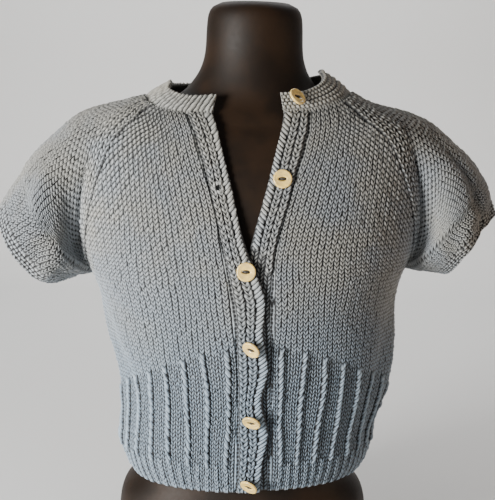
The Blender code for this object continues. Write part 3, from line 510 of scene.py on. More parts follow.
def sleeve_point(side: int, t: float, share: float) -> Vector:
    """A point on the inner face of a sleeve; share runs from the front seam to the back one.

    Args:
        side: 1 for +X and -1 for -X.
        t: How far down the sleeve, from 0 at the neck to 2 at the cuff.
        share: How far round the arm, from the front seam at 0 to the back one at 1.

    Returns:
        The point.
    """
    low_x, low_z, wrap, depth, top_x, top_z = between(SLEEVE_ROWS, t)
    shifts = [shift * ease(t - 1) for shift in CUFF_HANG[side]]
    low_x, low_z, top_x, top_z = (a + b for a, b in zip((low_x, low_z, top_x, top_z), shifts))
    wrap = radians(wrap)
    angle = -wrap + (pi + 2 * wrap) * share
    ends = {}
    for face in (1, -1):
        if t < 1:
            ends[face] = body_point(*raglan_seam(side, face, t))
        else:
            ends[face] = Vector((side * low_x, 0, low_z))
    middle = (ends[1] + ends[-1]) / 2
    low = Vector((middle.x, 0, low_z))
    top = Vector((side * top_x, 0, top_z))
    rise = (top - low) / (1 + sin(wrap))
    point = top - rise + rise * sin(angle) - Vector((0, depth * cos(angle), 0))
    near_end = ((1 - sin(angle)) / (1 + sin(wrap))) ** 2 if t < 1 else 0.0
    end = ends[1] if share < 0.5 else ends[-1]
    point.x += (end.x - low.x) * near_end
    exact_depth = depth * cos(wrap)
    if t < 1 and exact_depth > 0.001:
        point.y *= 1 + (abs(end.y) / exact_depth - 1) * near_end
    outward = rise.normalized() * sin(angle) - Vector((0, cos(angle), 0))
    axis = Vector((side * SLEEVE_AXIS[0], 0, SLEEVE_AXIS[1]))
    gusset = Vector((side * GUSSET_AXIS[0], 0, GUSSET_AXIS[1]))
    girth = (pi + 2 * wrap) * (depth + rise.length) / 2
    slide = gusset * gusset_slide(t, girth * abs((share + 0.5) % 1 - 0.5))
    off = angle_off(angle, CUFF_BOW_ANGLE) / CUFF_BOW_WIDTH
    grown = ease((t - CUFF_BOW_START_T) / CUFF_BOW_RISE_T)
    slide += axis * CUFF_BOW[side] * grown * max(0.0, 1 - off * off) ** 2
    return point + outward * sleeve_fold(side, t, angle) + slide


def gusset_slide(t: float, distance: float) -> float:
    """How far a sleeve's course slides down the arm, by its distance from the nearer seam.

    Args:
        t: How far down the sleeve, from 0 at the neck to 2 at the cuff.
        distance: The distance from that seam.

    Returns:
        The slide in metres.
    """
    share = min(distance / GUSSET_REACH, 1.0)
    spread = share * (2 - share)
    if t <= 1:
        return GUSSET_PUSH * ease((t - GUSSET_START_T) / GUSSET_RISE_T) * spread
    closing = ease((t - 1) / GUSSET_CLOSE_T)
    return GUSSET_PUSH * (1 - ease(t - 1)) * (spread + (1 - spread) * closing)


def sleeve_normal(side: int, t: float, share: float) -> Vector:
    """The sleeve's outward normal at a place.

    Args:
        side: 1 for +X and -1 for -X.
        t: How far down the sleeve, from 0 at the neck to 2 at the cuff.
        share: How far round the arm, from the front seam at 0 to the back one at 1.

    Returns:
        A unit vector.
    """
    step = 0.004
    low_t, high_t = max(t - step, 0.0), min(t + step, 2.0)
    low_share, high_share = max(share - step, 0.0), min(share + step, 1.0)
    if t >= 1:
        low_share, high_share = share - step, share + step
    along = sleeve_point(side, high_t, share) - sleeve_point(side, low_t, share)
    round_it = sleeve_point(side, t, high_share) - sleeve_point(side, t, low_share)
    return (along.cross(round_it) * side).normalized()


def seam_normal(side: int, face: int, t: float) -> Vector:
    """The direction that both walls share along a raglan seam."""
    own = sleeve_normal(side, min(t, 0.97), 0.03 if face > 0 else 0.97)
    return (body_normal(*raglan_seam(side, face, t)) + own).normalized()


def blended(own: Vector, seam: Vector, distance: float) -> Vector:
    """A wall's direction, turning from its seam's to its own over a short distance."""
    return seam.lerp(own, ease(distance / SEAM_BLEND)).normalized()


def reach_along(points: Sequence[Vector]) -> list[float]:
    """The distance along a row of points, from its start to each point."""
    return [0.0, *accumulate((b - a).length for a, b in zip(points, points[1:]))]


def spaced_places(places: list[Place], shares: Iterable[float]) -> list[Place]:
    """Height and angle pairs at shares of a course's length, given by its fine places.

    Args:
        places: Fine places along the course.
        shares: Shares of the course's length.

    Returns:
        A place for each share.
    """
    reach = reach_along([body_point(z, angle) for z, angle in places])
    found, i = [], 0
    for wanted in shares:
        wanted *= reach[-1]
        while i < len(reach) - 2 and reach[i + 1] < wanted:
            i += 1
        share = (wanted - reach[i]) / (reach[i + 1] - reach[i])
        (z_a, angle_a), (z_b, angle_b) = places[i], places[i + 1]
        found.append((z_a + (z_b - z_a) * share, angle_a + (angle_b - angle_a) * share))
    return found


@lru_cache(maxsize=1)
def seam_progress() -> tuple[list[float], list[float]]:
    """The t of places along a raglan seam from the underarm, and their shares of its length.

    Returns:
        The t of each place, and its share.
    """
    ts = [1 - n / (2 * FINE_STEPS) for n in range(2 * FINE_STEPS + 1)]
    reach = reach_along([body_point(*raglan_seam(1, 1, t)) for t in ts])
    return ts, [distance / reach[-1] for distance in reach]


def seam_t(share: float) -> float:
    """The t at a share of a raglan seam's length, from the underarm to the neck."""
    ts, shares = seam_progress()
    return float(np.interp(share, shares, ts))


def yoke_height(t: float, top_z: float) -> float:
    """The height at the middle of a panel of the course that meets the sleeve at t."""
    ts, shares = seam_progress()
    return UNDERARM_Z + (top_z - UNDERARM_Z) * float(np.interp(1 - t, [1 - value for value in ts], shares))


def band_rows(side: int) -> Table:
    """The table of the front band on a side."""
    return BUTTON_BAND_ROWS if side > 0 else BUTTONHOLE_BAND_ROWS


def front_course(side: int, level: Level) -> list[Place]:
    """Fine places along a course of a front, from its band to its side.

    Args:
        side: 1 for +X and -1 for -X.
        level: The course's height, or its t beside a sleeve.

    Returns:
        The places, by height and angle.
    """
    z, t = level
    if t is None:
        inner_z, side_z, side_angle = z, z, mirrored(0.0, side)
    else:
        side_z, side_angle = raglan_seam(side, 1, t)
        inner_z = yoke_height(t, BAND_TOP_Z)
    start = angle_at_x(inner_z, between(band_rows(side), inner_z)[0])
    return [
        (inner_z + (side_z - inner_z) * n / FINE_STEPS, start + (side_angle - start) * n / FINE_STEPS)
        for n in range(FINE_STEPS + 1)
    ]


def back_course(level: Level) -> list[Place]:
    """Fine places along a course of the back, from the -X side to the +X side.

    Args:
        level: The course's height, or its t beside a sleeve.

    Returns:
        The places, by height and angle.
    """
    z, t = level
    if t is None:
        ends_z, middle_z, angle = z, z, 0.0
    else:
        ends_z, angle = raglan_seam(1, -1, t)
        middle_z = yoke_height(t, BACK_NECK_Z)
    places = []
    for n in range(2 * FINE_STEPS + 1):
        share = n / (2 * FINE_STEPS)
        bow = 1 - (2 * share - 1) ** 2
        places.append((ends_z + (middle_z - ends_z) * bow, pi - angle + (pi + 2 * angle) * share))
    return places


def sleeve_girth(side: int, t: float) -> float:
    """The length round a sleeve's course, from its front seam to its back one."""
    return reach_along([sleeve_point(side, t, n / 24) for n in range(25)])[-1]


def band_place(side: int, z: float, share: float) -> Place:
    """The height and angle across a front band, from its seam to its free edge."""
    seam_x, edge_x = between(band_rows(side), z)
    return z, angle_at_x(z, seam_x + (edge_x - seam_x) * share)


def is_covered(side: int, z: float, share: float) -> bool:
    """Whether the button band lies under the buttonhole band at a place, so its wales lie flat.

    Args:
        side: 1 for +X and -1 for -X.
        z: The height.
        share: The place from the seam at 0 to the free edge at 1.

    Returns:
        True where the other band covers it.
    """
    seam_x, edge_x = between(BUTTON_BAND_ROWS, z)
    x = seam_x + (edge_x - seam_x) * share
    return side > 0 and x < between(BUTTONHOLE_BAND_ROWS, z)[1] + COVER_MARGIN


def edge_normals(places: list[Place], side: int, face: int, lifted: bool) -> list[SeamPoint]:
    """Points and normals along the top of a panel; its last place is beside the raglan seam.

    Args:
        places: Places along the edge, by height and angle.
        side: 1 for +X and -1 for -X.
        face: 1 for the front and -1 for the back.
        lifted: Whether the cloth lies over the button band.

    Returns:
        A point and a normal for each place.
    """
    points = [body_point(z, angle, lifted) for z, angle in places]
    seam = seam_normal(side, face, 0)
    return [
        (point, blended(body_normal(z, angle, lifted), seam, (point - points[-1]).length))
        for point, (z, angle) in zip(points, places)
    ]


def neckline() -> list[SeamPoint]:
    """The seam of the neckband, from the buttonhole band round the back to the button band.

    Returns:
        The seam's points and normals.
    """
    halves = []
    for side in (-1, 1):
        places = [band_place(side, BAND_TOP_Z, 1 - n / 8) for n in range(9)]
        places += front_course(side, (None, 0.0))[1:-1]
        front = edge_normals(places, side, 1, side < 0)
        over = []
        for n in range(25):
            share = n / 24
            own = sleeve_normal(side, 0.0, share)
            seam = seam_normal(side, 1 if share < 0.5 else -1, 0)
            distance = sleeve_girth(side, 0.0) * min(share, 1 - share)
            over.append((sleeve_point(side, 0.0, share), blended(own, seam, distance)))
        halves.append((front, over))
    course = back_course((None, 0.0))[1:-1]
    middle = len(course) // 2
    back = edge_normals(course[:middle][::-1], -1, -1, False)[::-1]
    back += edge_normals(course[middle:], 1, -1, False)
    (front, over), (other_front, other_over) = halves
    return front + over + back + other_over[::-1] + other_front[::-1]


def along_neckline(seam: list[SeamPoint], share: float) -> tuple[Vector, Vector, Vector]:
    """A point of the neckline, its normal and its direction, at a share of its length.

    Args:
        seam: The neckline's points and normals.
        share: The share of its length.

    Returns:
        The point, the normal and the direction.
    """
    reach = reach_along([point for point, _ in seam])
    wanted = reach[-1] * share
    i = max(n for n in range(len(reach) - 1) if reach[n] <= wanted)
    part = (wanted - reach[i]) / (reach[i + 1] - reach[i])
    near, far = max(i - 2, 0), min(i + 3, len(seam) - 1)
    return (
        seam[i][0].lerp(seam[i + 1][0], part),
        seam[i][1].lerp(seam[i + 1][1], part).normalized(),
        (seam[far][0] - seam[near][0]).normalized(),
    )


def neckband_place(seam: list[SeamPoint], share: float, height: float) -> SeamPoint:
    """A point on the neckband's inner face and its normal, by shares of its length and height.

    Args:
        seam: The neckline's points and normals.
        share: The share of its length.
        height: The share of the neckband's height.

    Returns:
        The point and the normal.
    """
    point, seam_way, along = along_neckline(seam, share)
    round_angle = degrees(acos(max(-1.0, min(1.0, -point.y / hypot(point.x, point.y)))))
    gap, *leans = between(NECKBAND_ROWS, round_angle)
    inward, rise = leans[2:] if point.x > 0 else leans[:2]
    centre_way = Vector((-point.x, -point.y, 0)).normalized()
    slant = centre_way * inward + Vector((0, 0, rise))
    band_way = along.cross(slant).normalized()
    if band_way.dot(centre_way) > 0:
        band_way.negate()
    normal = seam_way.lerp(band_way, ease(height * 2)).normalized()
    start = gap / slant.length
    bow = sin(pi * height) * NECKBAND_BOW
    return point + slant * (start + height * (1 - start)) + normal * bow, normal


def button_seat(x: float, z: float, layer: str) -> SeamPoint:
    """A place on a band's outer face, past its raised wales, and the way it faces.

    Args:
        x: The button's place across the front.
        z: Its height.
        layer: The piece that it is sewn to.

    Returns:
        The place and the way it faces.
    """
    if layer == "neckband":
        seam = neckline()
        shares = [1 - n / 200 for n in range(60)]
        places = [neckband_place(seam, share, NECKBAND_BUTTON_HEIGHT) for share in shares]
        place, facing = min(places, key=lambda pair: abs(pair[0].x - x))
        return place + facing * (NECKBAND_WALL + NECKBAND_CORD_HEIGHT), facing
    lifted = layer == "buttonhole_band"
    angle = angle_at_x(z, x)
    facing = body_normal(z, angle, lifted)
    return body_point(z, angle, lifted) + facing * (WALL + BAND_WALE_HEIGHT), facing


class Stitch(IntEnum):
    """The ways a stitch shows on the cloth's face."""

    KNIT = 0
    PURL = 1
    ROPE = 2
    LADDER = 3
    BOLD = 4
    ZIGZAG = 5


@dataclass(frozen=True)
class StitchShape:
    """How one kind of stitch rises off the cloth, and how it leans along its wale.

    Args:
        height: How far the yarn stands up, in metres.
        roundness: The power of its section; less than 1 is fuller.
        split: Whether it is two legs that meet in a V.
        dip: Its height between two courses, as a share of its full height.
        rise: How far its sides rise along the wale, in courses.
        twist: How far it climbs from its left side to its right one, in courses.
        sway: How far its wale swings from side to side, in metres.
        crotch: The height where the two legs meet, as a share of its full height.
        crotch_width: How wide that place is, as a share of the stitch's width.
        bulge: The power of its rise along the wale; less than 1 is fuller.
    """

    height: float
    roundness: float
    split: bool
    dip: float
    rise: float
    twist: float
    sway: float = 0.0
    crotch: float = 0.72
    crotch_width: float = 0.16
    bulge: float = 0.8

    def across(self, share: Array) -> Array:
        """The height at shares of the stitch's width, from 0 to 1.

        Args:
            share: Shares of the stitch's width.

        Returns:
            The height at each, from 0 to 1.
        """
        if not self.split:
            return np.abs(np.sin(np.pi * share)) ** self.roundness
        legs = np.abs(np.sin(2 * np.pi * share)) ** self.roundness
        return np.maximum(legs, self.crotch * np.exp(-(((share - 0.5) / self.crotch_width) ** 2)))

    def along(self, share: Array) -> Array:
        """The height at shares of the stitch's length, from 0 to 1."""
        return self.dip + (1 - self.dip) * np.sin(np.pi * share) ** self.bulge

    def lean(self, share: Array) -> Array:
        """How far the stitch is moved along its wale at shares of its width."""
        return self.rise * np.abs(2 * share - 1) + self.twist * (share - 0.5)


SHAPES = {
    Stitch.KNIT: StitchShape(0.0020, 0.85, True, 0.24, 0.95, 0.0),
    Stitch.PURL: StitchShape(0.0013, 0.60, False, 0.05, -0.25, 0.0, 0.0008),
    Stitch.ROPE: StitchShape(0.0028, 0.50, False, 0.16, 0.1, 1.7, 0.0006),
    Stitch.LADDER: StitchShape(-0.0016, 0.60, False, 0.62, 0.0, 0.0),
    Stitch.BOLD: StitchShape(0.0031, 0.95, True, 0.30, 1.1, 0.0, 0.0006, 0.55),
    Stitch.ZIGZAG: StitchShape(0.0013, 0.55, True, 0.10, 1.15, 0.0, 0.0, 0.1),
}
ROWS_IN_A_COURSE = 3
# Power of the painted shade between the stitches of the raglan bands
RAGLAN_GAP_SHADE_POWER = 1.4
COVERED_DEPTH = -0.0010
COVER_MARGIN = 0.006
UPRIGHT = np.array([0.0, 0.0, 1.0])
BODY_START_Z = 0.104
LOW_COURSES = 52
YOKE_COURSES = 40
RAGLAN_STRIP_WIDTH = 0.0225
RAGLAN_STRIP_WALES = 3
RAGLAN_STRIP_HEIGHT = 0.0011
RAGLAN_STRIP_EARLY = 4
RAGLAN_STRIP_OPENING = 0.10
SMALL_LIFT = 0.0002
HEM_RIB_LIFT = 0.0006
WELT_ROPE_LIFT = 0.0017
WELT_ROPE_EVERY = 4
GARTER_LIFT = 0.0007
# Lift at which a wale gets none of the extra painted shade of low wales
FULL_LIFT = 0.0016
INNER_COLUMNS = 36


@dataclass
class Cloth:
    """The smooth outer face of a piece of cloth, a row of points for each course.

    Args:
        points: The face's points, by course and by even steps along it.
        normals: The outward normal at each point.
    """

    points: Array
    normals: Array

    @property
    def courses(self) -> int:
        """The number of courses between the first row and the last."""
        return self.points.shape[0] - 1

    def lengths(self) -> Array:
        """The length of each row."""
        return np.linalg.norm(np.diff(self.points, axis=1), axis=2).sum(axis=1)

    def length_at(self, row: Array) -> Array:
        """The length of the cloth at places between its rows."""
        return np.interp(row, np.arange(self.courses + 1), self.lengths())

    def at(self, row: Array, share: Array) -> tuple[Array, Array]:
        """Points and normals on a smooth surface through the grid.

        Args:
            row: Places along the wales, in courses.
            share: Places along each course, from 0 to 1.

        Returns:
            The points and the normals there.
        """
        rows, columns = self.points.shape[:2]
        data = np.concatenate([self.points, self.normals], axis=2)
        for _ in range(2):
            data = np.concatenate([2 * data[:1] - data[1:2], data, 2 * data[-1:] - data[-2:-1]])
            data = data.swapaxes(0, 1)
        i, row_weights = smooth_weights(row, rows)
        j, column_weights = smooth_weights(share * (columns - 1), columns)
        found = np.zeros(row.shape + (6,))
        for a in range(4):
            for b in range(4):
                weight = row_weights[a] * column_weights[b]
                found += data[i + a, j + b] * weight[..., None]
        normals = found[..., 3:]
        return found[..., :3], normals / np.linalg.norm(normals, axis=-1, keepdims=True)

    def inner_face(self, last: float, rows: int, columns: int, wall: float) -> tuple[Array, Array]:
        """A plain grid on the cloth's inner face.

        Args:
            last: The row of the cloth where the grid ends.
            rows: How many rows the grid has.
            columns: How many columns it has.
            wall: The cloth's thickness.

        Returns:
            The grid's points, and the row of the cloth that each of its rows lies on.
        """
        level = np.linspace(0, last, rows)
        row = level[:, None] + np.zeros(columns)[None, :]
        share = np.linspace(0, 1, columns)[None, :] + np.zeros(rows)[:, None]
        points, normals = self.at(row, share)
        return points - normals * wall, level


def smooth_weights(place: Array, count: int) -> tuple[Array, list[Array]]:
    """The first of four neighbours, and their weights, for a smooth curve through a row of values.

    Args:
        place: Places along the values, counted from the first.
        count: How many values there are.

    Returns:
        The index of the first neighbour in the row with one more value at each end, and four weights.
    """
    start = np.clip(np.floor(place).astype(int), 0, count - 2)
    f = np.clip(place - start, 0, 1)
    weights = [
        -0.5 * f**3 + f**2 - 0.5 * f,
        1.5 * f**3 - 2.5 * f**2 + 1,
        -1.5 * f**3 + 2 * f**2 + 0.5 * f,
        0.5 * f**3 - 0.5 * f**2,
    ]
    return start, weights


def outward_normals(points: Array, centres: Array) -> Array:
    """Normals of a grid of points, turned away from a centre for each row.

    Args:
        points: Rows and columns of points.
        centres: One point inside for each row.

    Returns:
        A unit normal at each point.
    """
    along = np.gradient(points, axis=0)
    across = np.gradient(points, axis=1)
    normals = np.cross(across, along)
    normals /= np.maximum(np.linalg.norm(normals, axis=2, keepdims=True), 1e-12)
    facing = np.sum(normals * (points - centres[:, None, :]))
    return normals if facing > 0 else -normals


def as_array(rows: list[list[Vector]]) -> Array:
    """A grid of vectors as one array."""
    return np.array([[tuple(point) for point in row] for row in rows], float)


def seamed_normals(
    points: Array, centres: Array, ts: Sequence[float | None], seams: tuple[Seam, Seam]
) -> Array:
    """Outward normals of a grid of points, turned to its raglan seams beside them.

    Args:
        points: Rows and columns of points.
        centres: One point inside for each row.
        ts: The t of each row, or None where no seam is beside it.
        seams: The side and face of the seams at the rows' start and at their end, or None.

    Returns:
        A unit normal at each point.
    """
    normals = outward_normals(points, centres)
    lengths = np.linalg.norm(np.diff(points, axis=1), axis=2).sum(axis=1)
    share = np.linspace(0, 1, points.shape[1])[None, :]
    beside = [t is not None for t in ts]
    yoke = [t for t in ts if t is not None]
    for seam, away in zip(seams, (share, 1 - share)):
        if seam:
            shared = as_array([[seam_normal(*seam, min(max(t, 0.0), 1.0))] for t in yoke])
            near = np.clip((lengths[:, None] * away)[beside] / SEAM_BLEND, 0, 1)
            near = (near * near * (3 - 2 * near))[..., None]
            bent = shared * (1 - near) + normals[beside] * near
            normals[beside] = bent / np.linalg.norm(bent, axis=2, keepdims=True)
    return normals


def hung(points: Array) -> Array:
    """A grid of the garment's points, moved to where the worn garment hangs."""
    return as_array([[hang(Vector(point)) for point in row] for row in points])


def course_level(course: int) -> Level:
    """The height of one of the body's courses, or its t where it lies beside a sleeve."""
    if course <= LOW_COURSES:
        return BODY_START_Z + (UNDERARM_Z - BODY_START_Z) * course / LOW_COURSES, None
    return None, seam_t((course - LOW_COURSES) / YOKE_COURSES)


def raglan_width(row: Array) -> Array:
    """The width of a raglan band beside each row; it starts at the underarm."""
    share = np.clip((row - LOW_COURSES) / YOKE_COURSES / RAGLAN_STRIP_OPENING, 0, 1)
    return RAGLAN_STRIP_WIDTH * share * share * (3 - 2 * share)


def bowed(share: Share, bow: float) -> Share:
    """Moves shares between 0 and 1 up by a bow, and leaves both ends."""
    return share + bow * share * (1 - share)


def no_width(row: Array) -> Array:
    """No raglan band."""
    return np.zeros_like(row, dtype=float)


@dataclass
class Pattern:
    """The stitches of a piece: their kinds, and how they lie along its courses.

    Args:
        kinds: The kind of each stitch, by course and wale.
        raised: How far each stitch is lifted off the cloth, in metres.
        start_strip: How many wales at the start belong to a raglan band.
        end_strip: How many wales at the end belong to one.
        from_middle: Whether wales are counted out from the piece's middle.
        columns: How many mesh columns a stitch has.
        even_below: The row up to which the wales share the course evenly.
        narrowing: How much narrower a wale gets from there to the last row.
        ring_below: The row up to which the piece is a closed tube, or -1.
        seed: The seed of the knitter's unevenness.
        height_scale: How tall the stitches stand, against their usual height.
        widths: The share of the piece's width that each wale takes, where they differ.
        gap_shade_power: The power of its painted shade; more than 1 widens the painted shade between its
            stitches.
    """

    kinds: Array
    raised: Array
    start_strip: int = 0
    end_strip: int = 0
    from_middle: bool = False
    columns: int = 6
    even_below: float = 1e9
    narrowing: float = 0.0
    ring_below: float = -1.0
    seed: int = 1
    height_scale: float = 1.0
    widths: tuple[float, ...] | None = None
    # Power of the painted shade between the stitches
    gap_shade_power: float = 1.0


@dataclass(frozen=True)
class Hole:
    """A round hole straight through a piece.

    Args:
        centre: Its middle, on the smooth cloth.
        facing: The way the cloth faces there.
        radius: Its radius in metres.
    """

    centre: Vector
    facing: Vector
    radius: float

    def away(self, points: Array) -> Array:
        """How far points lie from the hole's axis; those of other layers count as far away.

        Args:
            points: The points.

        Returns:
            A distance for each.
        """
        offset = points - np.array(tuple(self.centre))
        along = offset @ np.array(tuple(self.facing))
        across = np.linalg.norm(offset - along[..., None] * np.array(tuple(self.facing)), axis=-1)
        return np.where(np.abs(along) < 2 * WALL, across, 1.0)


@dataclass
class Shell:
    """A closed shell in the making: its outer grid, its plain inner grid, and how they join."""

    outer: Array
    home: Array
    # The mask of painted shade between the stitches: 1 on the ridges, 0 between them
    gap_shade_mask: Array
    stitch_place: Array
    inner: Array
    ring_inner_rows: int = 0
    holes: list[Hole] = field(default_factory=list)

    def grid_faces(self, numbers: Array) -> Array:
        """The four-sided faces of a grid of vertex numbers."""
        return np.stack(
            [numbers[:-1, :-1], numbers[:-1, 1:], numbers[1:, 1:], numbers[1:, :-1]], axis=-1
        ).reshape(-1, 4)

    def rim_faces(self, long: Array, short: Array) -> list[tuple[int, ...]]:
        """Triangles that join two chains of vertices whose ends lie together.

        Args:
            long: One chain of vertex numbers.
            short: The other one.

        Returns:
            The triangles' vertex numbers.
        """
        faces, i, j = [], 0, 0
        last_i, last_j = len(long) - 1, len(short) - 1
        while i < last_i or j < last_j:
            if j == last_j or (i < last_i and (i + 1) * last_j <= (j + 1) * last_i):
                faces.append((long[i], long[i + 1], short[j]))
                i += 1
            else:
                faces.append((long[i], short[j + 1], short[j]))
                j += 1
        return faces

    def build(self, name: str) -> bpy.types.Object:
        """Makes the shell's mesh, with its stitch places as UVs and the mask of its painted shade between the
        stitches as an attribute.

        Args:
            name: The object's name.

        Returns:
            The new object.
        """
        rows, columns = self.outer.shape[:2]
        inner_rows, inner_columns = self.inner.shape[:2]
        total = rows * columns
        own = np.arange(total).reshape(rows, columns)
        inside = total + np.arange(inner_rows * inner_columns).reshape(inner_rows, inner_columns)
        home = np.arange(total + inside.size)
        home[:total] = (np.arange(rows)[:, None] * columns + self.home).ravel()
        if self.ring_inner_rows:
            home[inside[: self.ring_inner_rows, -1]] = inside[: self.ring_inner_rows, 0]
        points = np.concatenate([self.outer.reshape(-1, 3), self.inner.reshape(-1, 3)])
        inner_places = np.stack(
            np.meshgrid(
                np.linspace(0, self.stitch_place[..., 0].max(), inner_columns),
                np.linspace(0, self.stitch_place[..., 1].max(), inner_rows),
            ),
            axis=-1,
        )
        places = np.concatenate([self.stitch_place.reshape(-1, 2), inner_places.reshape(-1, 2)])
        # The plain inner face gets a middling amount of painted shade
        gap_shade_mask = np.concatenate([self.gap_shade_mask.ravel(), np.full(inside.size, 0.6)])
        quads = np.concatenate([self.grid_faces(own), self.grid_faces(inside)[:, ::-1]])
        for hole in self.holes:
            quads = quads[hole.away(points[home[quads]].mean(axis=1)) > hole.radius]
        rims = self.rim_faces(own[0, ::-1], inside[0, ::-1]) + self.rim_faces(own[-1], inside[-1])
        first_open = int(self.ring_inner_rows > 0) and self.ring_inner_rows - 1
        outer_open = int(round(first_open * (rows - 1) / (inner_rows - 1)))
        rims += self.rim_faces(own[outer_open:, 0], inside[first_open:, 0])
        rims += self.rim_faces(own[outer_open:, -1][::-1], inside[first_open:, -1][::-1])
        faces: list[list[int]] = []
        corners: list[int] = []
        for face in quads.tolist() + [list(rim) for rim in rims]:
            kept: list[int] = []
            kept_own: list[int] = []
            for number in face:
                target = int(home[number])
                if target not in kept:
                    kept.append(target)
                    kept_own.append(number)
            if len(kept) > 2:
                faces.append(kept)
                corners.extend(kept_own)
        used, numbers = np.unique(np.concatenate([np.array(f) for f in faces]), return_inverse=True)
        ends = np.cumsum([len(face) for face in faces])
        faces = [part.tolist() for part in np.split(numbers, ends[:-1])]
        data = bpy.data.meshes.new(name)
        data.from_pydata(points[used].tolist(), [], faces)
        data.update()
        layer = data.uv_layers.new(name="Knit")
        layer.data.foreach_set("uv", places[np.array(corners)].astype(np.float32).ravel())
        # The mask of painted shade between the stitches, for the yarn's finish
        depth = data.attributes.new("yarn_gap_shade_mask", "FLOAT", "POINT")
        depth.data.foreach_set("value", gap_shade_mask[used].astype(np.float32))
        data.shade_smooth()
        return linked(name, data)


def linked(name: str, data: bpy.types.Mesh) -> bpy.types.Object:
    """A new object with this mesh, in the scene.

    Args:
        name: The object's name.
        data: Its mesh.

    Returns:
        The object.
    """
    item = bpy.data.objects.new(name, data)
    bpy.context.scene.collection.objects.link(item)
    return item


def turned(way: Vector) -> Matrix:
    """The turn that points +Z along a direction."""
    return way.to_track_quat("Z", "Y").to_matrix().to_4x4()


def join_rings(mesh: bmesh.types.BMesh, loops: Iterable[Sequence[Vector]]) -> None:
    """Adds a closed skin with flat ends to a mesh.

    Args:
        mesh: The mesh that gets the skin.
        loops: Loops of points from one end to the other, which run so that the skin faces out.
    """
    rings = [[mesh.verts.new(point) for point in loop] for loop in loops]
    for low, high in zip(rings, rings[1:]):
        for n in range(len(low)):
            k = (n + 1) % len(low)
            mesh.faces.new((low[n], low[k], high[k], high[n]))
    mesh.faces.new(rings[0][::-1])
    mesh.faces.new(rings[-1])


def smooth_mesh(name: str, mesh: bmesh.types.BMesh) -> bpy.types.Mesh:
    """Ends a mesh in the making.

    Args:
        name: The new mesh's name.
        mesh: The mesh in the making, which is freed.

    Returns:
        The new mesh, with smooth shading.
    """
    data = bpy.data.meshes.new(name)
    mesh.to_mesh(data)
    mesh.free()
    data.shade_smooth()
    return data


def turned_outward(item: bpy.types.Object) -> None:
    """Turns the faces of a closed mesh outward.

    Args:
        item: The object with the mesh.
    """
    mesh = bmesh.new()
    mesh.from_mesh(item.data)
    if mesh.calc_volume(signed=True) < 0:
        bmesh.ops.reverse_faces(mesh, faces=mesh.faces[:])
        mesh.to_mesh(item.data)
    mesh.free()
    item.data.shade_smooth()


